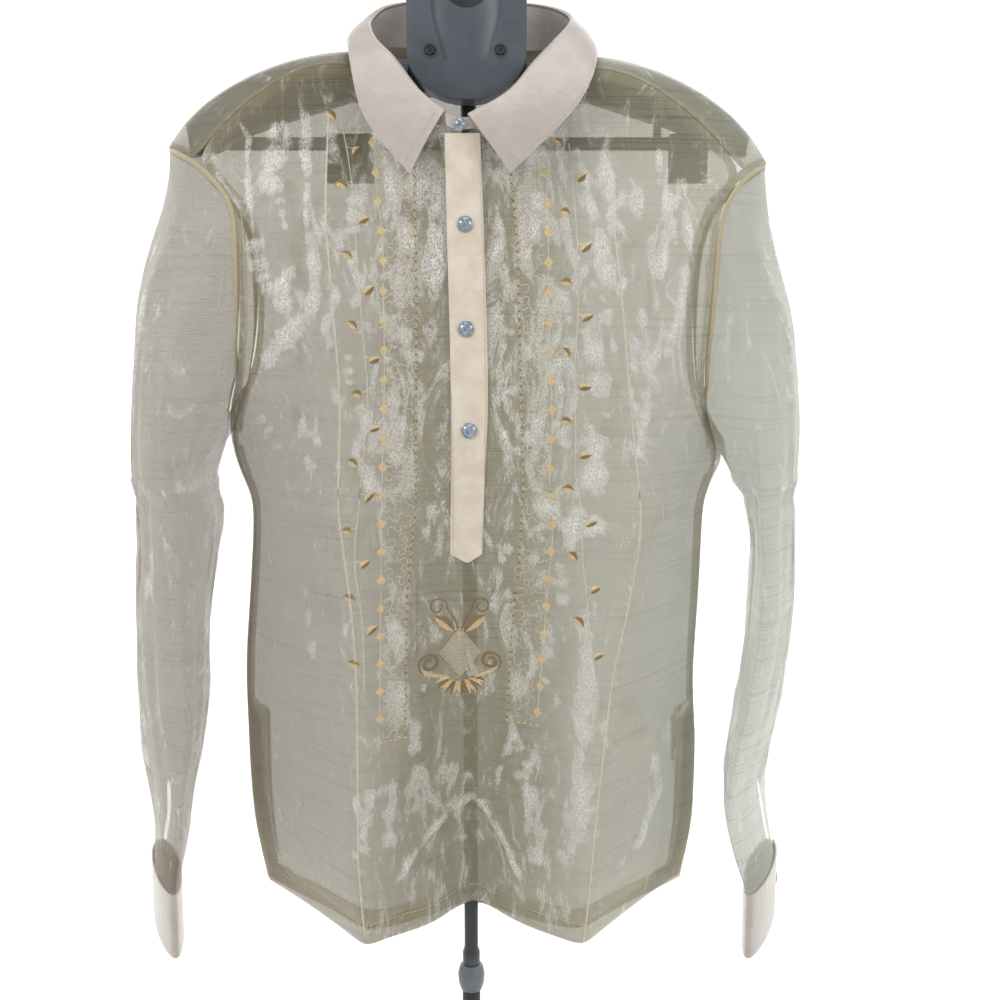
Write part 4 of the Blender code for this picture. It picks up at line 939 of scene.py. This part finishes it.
sewn_front = Sewing(front_tree, -1)
stitch_row(sewn_front, hem_line(front))
for edge_side in (-1, 1):
    side_edge = open_edge(front, lambda point: point.x * edge_side > 0.165 and 0.54 < point.z < 1.10)
    rows = sorted((point.z, point.x) for point in side_edge)
    heights = [z for z, _ in rows]
    edges = [x for _, x in rows]
    armhole_line, vent_line = [], []
    for line, foot, top, inward in (
        (armhole_line, 0.935, 1.095, 0.0052),
        (vent_line, 0.545, VENT_TOP, 0.0195),
    ):
        for z in np.arange(foot, top, EDGE_STEP):
            line.append((float(np.interp(z, heights, edges)) - edge_side * inward, float(z)))
    stitch_row(sewn_front, armhole_line, 0.0022, 0.0014)
    stitch_row(sewn_front, vent_line)
front_layers.append(sewn_front.finished("front_stitching", pale_thread, "organza"))


# Back panel
# The same organza, cut in one with the tops of the shoulders, so that its front edges lie forward of them. It
# has the same packet folds and hangs a little more smoothly.
BACK_CREASES = [
    ([(-0.100, 1.15), (-0.098, 1.00), (-0.099, 0.85), (-0.094, 0.70), (-0.090, 0.50)], 0.0028, 0.0015, 0.30),
    ([(0.103, 1.15), (0.103, 1.00), (0.103, 0.85), (0.099, 0.70), (0.095, 0.50)], 0.0028, 0.0015, 0.30),
    ([(-0.185, 0.866), (-0.08, 0.871), (0.02, 0.868), (0.10, 0.872), (0.19, 0.866)], 0.0042, -0.0018, 0.0),
    ([(-0.185, 0.878), (-0.08, 0.882), (0.02, 0.880), (0.10, 0.883), (0.19, 0.877)], 0.0030, 0.0014, 0.40),
    ([(-0.150, 1.09), (-0.146, 0.99), (-0.152, 0.90)], 0.0050, 0.0026, 0.60),
    ([(0.155, 1.09), (0.150, 0.99), (0.156, 0.90)], 0.0050, 0.0026, 0.60),
    ([(-0.03, 0.76), (-0.045, 0.66), (-0.060, 0.56)], 0.0060, 0.0030, 0.50),
    ([(0.034, 0.76), (0.045, 0.66), (0.058, 0.56)], 0.0060, 0.0030, 0.50),
]
for _ in range(36):
    x = draw.uniform(-0.17, 0.17)
    top = draw.uniform(0.66, 1.18)
    foot = top - draw.uniform(0.04, 0.12)
    spans = (0.003, 0.007), (0.6, 1.8), (0.0060, 0.0150), (0.0006, 0.0014), (0.3, 0.55)
    BACK_CREASES.append(small_crease(x, top, foot, *spans))


def even_painted_sheen(x, z):
    """A little painted highlight all over, to which the creases add."""
    return np.full(len(x), 0.16)


back = panel("back", "back_panel", SUBDIVISIONS, BACK_CREASES, even_painted_sheen, body_organza)
back_layers = sewn_layers(back, "back")
sewn_back = Sewing(tree_of(back), 1)
stitch_row(sewn_back, hem_line(back))
back_layers.append(sewn_back.finished("back_stitching", pale_thread, "organza"))


# Sleeves
# One piece of organza each, seamed under the arm and set into the armhole. They hang flat, seen edge-on, with
# a pressed crease at the front and back and long soft ridges from the packet.
SLEEVE_SUBDIVISIONS = 2
SEAM_ROUND = 0.0012
# Lit and shaded copies of one organza: the right sleeve's paler, greener tint is painted light
left_shaded_organza = organza(
    "left_sleeve_organza", tint(124, 114, 92), tint(96, 78, 50), tint(134, 124, 102), PAINTED_LIGHT_DOWNWARD
)
right_lit_organza = organza(
    "right_sleeve_organza", tint(136, 137, 118), tint(120, 108, 80), tint(190, 198, 184), PAINTED_LIGHT_DOWNWARD
)


def sleeve_creases(way):
    """Creases as y, z: the long ridges, the fold across and small ones drawn at random."""
    lines = []
    for y, top, foot, width, height, painted_glow in (
        (-0.030, 1.08, 0.70, 0.0050, 0.0024, 0.55),
        (0.000, 1.12, 0.58, 0.0042, 0.0020, 0.70),
        (0.032, 1.08, 0.66, 0.0055, 0.0026, 0.50),
        (-0.046, 0.98, 0.60, 0.0040, -0.0020, 0.0),
        (-0.012, 0.86, 0.60, 0.0034, -0.0020, 0.0),
    ):
        lines.append((wavy(y, top, foot, 0.004, 1.4, 3 * way + y * 40), width, height, painted_glow))
    lines.append(([(-0.09, 0.866), (-0.03, 0.870), (0.04, 0.865), (0.10, 0.868)], 0.0045, -0.0022, 0.0))
    lines.append(([(-0.09, 0.879), (-0.03, 0.883), (0.04, 0.878), (0.10, 0.881)], 0.0032, 0.0016, 0.60))
    for _ in range(16):
        top = draw.uniform(0.62, 1.08)
        y = draw.uniform(-0.06, 0.07)
        foot = top - draw.uniform(0.04, 0.12)
        line = wavy(y, top, foot, 0.004, 1.5, draw.uniform(0, 6))
        width, height = draw.uniform(0.0040, 0.0100), draw.uniform(0.0006, 0.0013)
        lines.append((line, width, height, draw.uniform(0.3, 0.6)))
    return lines


def front_to_back(places):
    return places[:, 1]


sleeves = []
for side, way, cloth in (("left", -1, left_shaded_organza), ("right", 1, right_lit_organza)):
    node = "sleeve_" + side
    creases = sleeve_creases(way)
    sleeves.append(
        panel(node, "sleeve_cloth_" + side, SLEEVE_SUBDIVISIONS, creases, even_painted_sheen, cloth, front_to_back)
    )


def piping(piece, name, part):
    """A narrow rolled seam that follows those open edges of a sheet that the test picks."""
    mesh = bmesh.new()
    mesh.from_mesh(piece.data)
    mesh.normal_update()
    rolls = bmesh.new()
    for edge in mesh.edges:
        if not edge.is_boundary or not part(edge.verts[0].co) or not part(edge.verts[1].co):
            continue
        rings = []
        for vertex in edge.verts:
            along = Vector()
            for other in vertex.link_edges:
                if other.is_boundary:
                    next_vertex = other.other_vert(vertex)
                    along += (next_vertex.co - vertex.co) * (1 if next_vertex in edge.verts else -1)
            along.normalize()
            if vertex is edge.verts[1]:
                along = -along
            high = vertex.normal
            wide = along.cross(high).normalized()
            ring = []
            for turn in np.linspace(0, math.tau, 8, endpoint=False):
                reach = math.cos(turn) * high * 0.55 + math.sin(turn) * wide * 1.9
                ring.append(rolls.verts.new(vertex.co + SEAM_ROUND * reach))
            rings.append(ring)
        for i in range(8):
            rolls.faces.new((rings[0][i], rings[0][(i + 1) % 8], rings[1][(i + 1) % 8], rings[1][i]))
    mesh.free()
    bmesh.ops.remove_doubles(rolls, verts=rolls.verts, dist=0.00005)
    bmesh.ops.recalc_face_normals(rolls, faces=rolls.faces)
    return dress(keep_object(name, rolls), seam_thread, "organza")


def at_armhole(point):
    return point.z > 0.885


armhole_seams = [piping(sleeve, sleeve.name + "_armhole_seam", at_armhole) for sleeve in sleeves]


# Collar, neck band and cuffs
# Cream satin fused to a stiff lining, so that it is opaque and holds its shape. Its weave shows as a fine
# crosshatch with a painted glint in its colour, and each edge is turned, pressed and sewn.
SATIN_THICK = 0.0013


def fused_satin(name, dark, light, painted_sparkle, hatch_share):
    satin = Finish(name)
    hatch_a = satin.noise(1.0, 2, satin.stretched((1500, 400, 220), (0.0, 0.7, 0.0)), 0.6)
    hatch_b = satin.noise(1.0, 2, satin.stretched((1500, 400, 220), (0.0, -0.7, 0.0)), 0.6)
    cloud = satin.noise(60, 4, roughness=0.62)
    # Painted glint: the crosshatch of the weave mixes a brighter colour into the satin's own
    painted_glitter = satin.ramp(hatch_a + hatch_b, (0.50, 0.0), (0.66, 1.0))
    ground = satin.mix(satin.ramp(cloud, (0.40, 0.0), (0.64, 1.0)), dark, light)
    satin.set(
        Base_Color=satin.mix(painted_glitter * hatch_share, ground, painted_sparkle),
        Roughness=0.46 - painted_glitter * 0.14,
        Normal=satin.bump(hatch_a + hatch_b, 0.35, 0.0006, satin.bump(cloud, 0.34, 0.0032)),
        Sheen_Weight=0.18,
        Specular_IOR_Level=0.55,
    )
    return satin


cream = fused_satin("cream_satin", tint(132, 121, 111), tint(160, 149, 140), tint(200, 190, 184), 0.62)


def thick(piece):
    """Gives a satin sheet its thickness, inwards from its outer face."""
    wall = piece.modifiers.new("wall", "SOLIDIFY")
    wall.thickness = SATIN_THICK
    wall.offset = -1
    wall.use_even_offset = False
    apply_modifiers(piece)
    bpy.ops.object.shade_smooth_by_angle(angle=math.radians(50))
    return piece


satin_pieces = {}
for node, name, levels in (
    ("collar", "collar_leaf", 3),
    ("collar_stand", "neck_band", 2),
    ("cuff_left", "cuff_cloth_left", 2),
    ("cuff_right", "cuff_cloth_right", 2),
):
    piece = thick(refine(outer_sheet(node, name), levels))
    satin_pieces[node] = dress(piece, cream, "satin", node)

# Rows of stitches just inside the leaf's edges, as x, z
LEAF_ROWS = [
    [(-0.0895, 1.196), (-0.0875, 1.172), (-0.0755, 1.150), (-0.0530, 1.124)],
    [(-0.0480, 1.1235), (-0.0225, 1.1640)],
    [(0.0930, 1.190), (0.0780, 1.168), (0.0520, 1.142), (0.0330, 1.125)],
    [(0.0270, 1.127), (0.0020, 1.1620)],
]
sewn_leaf = Sewing(tree_of(satin_pieces["collar"]), -1)
for line in LEAF_ROWS:
    stitch_row(sewn_leaf, smooth_line(line), 0.0028, 0.0018, 0.0007)
collar_stitching = sewn_leaf.finished("collar_stitching", pale_thread, "satin")


# Placket
# Two bands of peach satin sewn to the two sides of the slit. The upper one is pointed at its foot and was
# creased across when the shirt was folded. Both its long edges are sewn down.
# The peach satin has the same painted glint in its colour as the cream
peach = fused_satin("peach_satin", tint(190, 171, 146), tint(214, 200, 180), tint(240, 230, 216), 0.45)
for node, name in (("placket", "placket_band"), ("placket_under", "placket_under_band")):
    piece = refine(outer_sheet(node, name), 3, "SIMPLE")
    places = points_of(piece)
    lift = np.zeros(len(places))
    for line, half_width, height in (
        ([(-0.016, 0.883), (0.004, 0.889), (0.018, 0.884)], 0.0030, 0.0008),
        ([(-0.016, 0.874), (0.002, 0.868), (0.018, 0.873)], 0.0026, -0.0007),
        ([(-0.011, 1.068), (-0.004, 1.058), (0.006, 1.062)], 0.0022, -0.0006),
        ([(-0.009, 0.990), (0.001, 0.981), (0.010, 0.986)], 0.0022, -0.0006),
        ([(-0.008, 0.912), (0.003, 0.905), (0.011, 0.910)], 0.0022, -0.0006),
        ([(0.000, 1.120), (0.003, 0.990), (0.002, 0.860)], 0.0060, 0.0005),
    ):
        apart, _ = from_line(places[:, 0], places[:, 2], line)
        lift += height * np.exp(-((apart / half_width) ** 2))
    put_points(piece, places + normals_of(piece) * lift[:, None])
    satin_pieces[node] = dress(thick(piece), peach, "placket_satin", node)

sewn_placket = Sewing(tree_of(satin_pieces["placket"]), -1)
for line in (
    [(-0.0168, 1.126), (-0.0145, 1.060), (-0.0120, 0.950), (-0.0115, 0.880), (-0.0118, 0.826),
     (-0.0010, 0.8175)],
    [(0.0100, 1.126), (0.0125, 1.060), (0.0145, 0.950), (0.0125, 0.880), (0.0105, 0.826), (0.0008, 0.8175)],
):
    stitch_row(sewn_placket, line, 0.0028, 0.0019, 0.0007)
placket_stitching = sewn_placket.finished("placket_stitching", pale_thread, "placket_satin")


# Snaps
# Press fasteners with domed pearly caps. One is modelled and copied to the placket, the neck band and the
# cuffs, each facing out from its own band.
CAP_RADIUS = 0.0062
CAP_BODY = 0.0015
END_DEPTH = 0.0003

pearl = Finish("pearly_cap")
swirl = pearl.noise(420, 3, roughness=0.6, distortion=0.8)
clouded = pearl.ramp(swirl, (0.35, 0.0), (0.68, 1.0))
pearl.set(
    Base_Color=pearl.mix(clouded, tint(104, 117, 130), tint(176, 188, 198)),
    Roughness=0.16 + swirl * 0.10,
    Coat_Weight=0.6,
    Coat_Roughness=0.08,
    Metallic=0.25,
)
bare()
bpy.ops.mesh.primitive_cylinder_add(
    vertices=48, radius=CAP_RADIUS, depth=CAP_BODY, location=(0, 0, CAP_BODY / 2)
)
cap = bpy.context.object
pick(cap, "faces", lambda face: face.normal.z > 0.9)
for inset, rise in (
    (0.0005, 0.00035), (0.0006, 0.0), (0.0002, -0.0003), (0.0004, 0.0004),
    (0.0011, 0.0006), (0.0013, 0.0004), (0.0012, 0.0001),
):
    bpy.ops.mesh.inset(thickness=inset, depth=0)
    bpy.ops.transform.translate(value=(0, 0, rise))
bpy.ops.object.mode_set(mode="OBJECT")
edges = cap.modifiers.new("edges", "BEVEL")
edges.width = 0.00018
edges.segments = 2
apply_modifiers(cap)
bpy.ops.object.shade_smooth_by_angle(angle=math.radians(55))

for node in ("snap_1", "snap_2", "snap_3", "snap_neck", "snap_cuff_left", "snap_cuff_right"):
    solid = points_of(nodes[node])
    middle = (solid.max(0) + solid.min(0)) / 2
    ways = np.linalg.svd(solid - solid.mean(0))[2]
    facing = ways[2]
    height = (solid - middle) @ facing
    spread = np.linalg.norm((solid - middle) - height[:, None] * facing, axis=1)
    if spread[height > height.max() - END_DEPTH].max() > spread[height < height.min() + END_DEPTH].max():
        facing, height = -facing, -height
    size = spread.max() / CAP_RADIUS
    button = bpy.data.objects.new("cap_of_" + node, cap.data.copy())
    bpy.context.scene.collection.objects.link(button)
    turn = Vector(facing).to_track_quat("Z", "Y").to_matrix().to_4x4()
    foot = Vector(middle + facing * height.min())
    button.data.transform(Matrix.Translation(foot) @ turn @ Matrix.Scale(size, 4))
    dress(button, pearl, "snap_cap", node)
bpy.data.objects.remove(cap)


# Hanger stand
# A moulded grey head screwed to a steel pole, with two shoulder arms, a trouser bar and two clips. Below the
# hem a clamp holds the pole in a dark tube on a round weighted base.
def moulded(name, dark, light, roughness, metallic=0.0):
    plastic = Finish(name)
    grain = plastic.noise(900, 3, roughness=0.6)
    wear = plastic.noise(22, 4, roughness=0.6)
    plastic.set(
        Base_Color=plastic.mix(plastic.ramp(wear, (0.36, 0.0), (0.66, 1.0)), dark, light),
        Roughness=roughness + wear * 0.10,
        Normal=plastic.bump(grain, 0.12, 0.0003),
        Metallic=metallic,
    )
    return plastic


head_plastic = moulded("head_plastic", tint(75, 80, 87), tint(90, 95, 103), 0.38)
clamp_plastic = moulded("clamp_plastic", tint(98, 102, 108), tint(114, 118, 124), 0.36)
clip_plastic = moulded("clip_plastic", tint(66, 73, 84), tint(84, 92, 104), 0.40)
arm_plastic = moulded("arm_plastic", tint(78, 86, 98), tint(98, 106, 118), 0.36)
black_plastic = moulded("black_plastic", tint(34, 36, 38), tint(50, 52, 55), 0.42)
pole_paint = moulded("pole_paint", tint(70, 72, 75), tint(84, 86, 88), 0.30, 0.4)

STAND = {
    "hanger_head": (head_plastic, "grey_plastic", 0.0012),
    "hanger_arm_left": (arm_plastic, "grey_plastic", 0.0010),
    "hanger_arm_right": (arm_plastic, "grey_plastic", 0.0010),
    "trouser_bar": (arm_plastic, "grey_plastic", 0.0008),
    "clip_left": (clip_plastic, "dark_plastic", 0.0005),
    "clip_right": (clip_plastic, "dark_plastic", 0.0005),
    "pole": (pole_paint, "pole_metal", 0.0004),
    "pole_clamp": (clamp_plastic, "grey_plastic", 0.0006),
    "tube": (black_plastic, "pole_metal", 0.0004),
    "base": (black_plastic, "dark_plastic", 0.0012),
}
for node, (finish, slot, rounding) in STAND.items():
    mesh = bmesh.new()
    mesh.from_mesh(nodes[node].data)
    bmesh.ops.remove_doubles(mesh, verts=mesh.verts, dist=0.00002)
    bmesh.ops.dissolve_limit(mesh, angle_limit=math.radians(1.0), verts=mesh.verts, edges=mesh.edges)
    piece = keep_object("smooth_" + node, mesh)
    soft = piece.modifiers.new("soft", "BEVEL")
    soft.width = rounding
    soft.segments = 3
    soft.limit_method = "ANGLE"
    soft.angle_limit = math.radians(38)
    apply_modifiers(piece)
    bpy.ops.object.shade_smooth_by_angle(angle=math.radians(45))
    dress(piece, finish, slot, node)

# Two black hexagon screws hold the head, each on a low round seat
SCREW_HEIGHT = 1.2114
SCREW_FRONT = -0.0451
SEAT_RADIUS = 0.0052
SCREW_RADIUS = 0.0036
SCREW_OUT = 0.0004


def facing_part(name, sides, radius, depth, place, finish, insets):
    """A short bar that faces forward, with its front set in by each width and push in turn."""
    bare()
    bpy.ops.mesh.primitive_cylinder_add(
        vertices=sides, radius=radius, depth=depth, location=place, rotation=(math.pi / 2, 0, 0)
    )
    part = bpy.context.object
    bpy.ops.object.transform_apply(location=True, rotation=True, scale=True)
    pick(part, "faces", lambda face: face.normal.y < -0.9)
    for width, push in insets:
        bpy.ops.mesh.inset(thickness=width, depth=push)
    bpy.ops.object.mode_set(mode="OBJECT")
    part.name = name
    dress(part, finish, "dark_plastic")


for name, x in (("screw_left", -0.0273), ("screw_right", 0.0254)):
    seat = (x, SCREW_FRONT, SCREW_HEIGHT)
    head = (x, SCREW_FRONT - SCREW_OUT, SCREW_HEIGHT)
    seat_steps = (0.0008, 0), (0.0008, -0.0006)
    facing_part(name + "_seat", 40, SEAT_RADIUS, 0.0010, seat, head_plastic, seat_steps)
    facing_part(name, 6, SCREW_RADIUS, 0.0030, head, black_plastic, [(0.0012, -0.0008)])


# Sleeves with their cuffs
# Each sleeve is taken together with its cuff and its armhole seam.
for sleeve, cuff_side, seam in zip(sleeves, ("left", "right"), armhole_seams):
    satin_pieces["cuff_" + cuff_side]
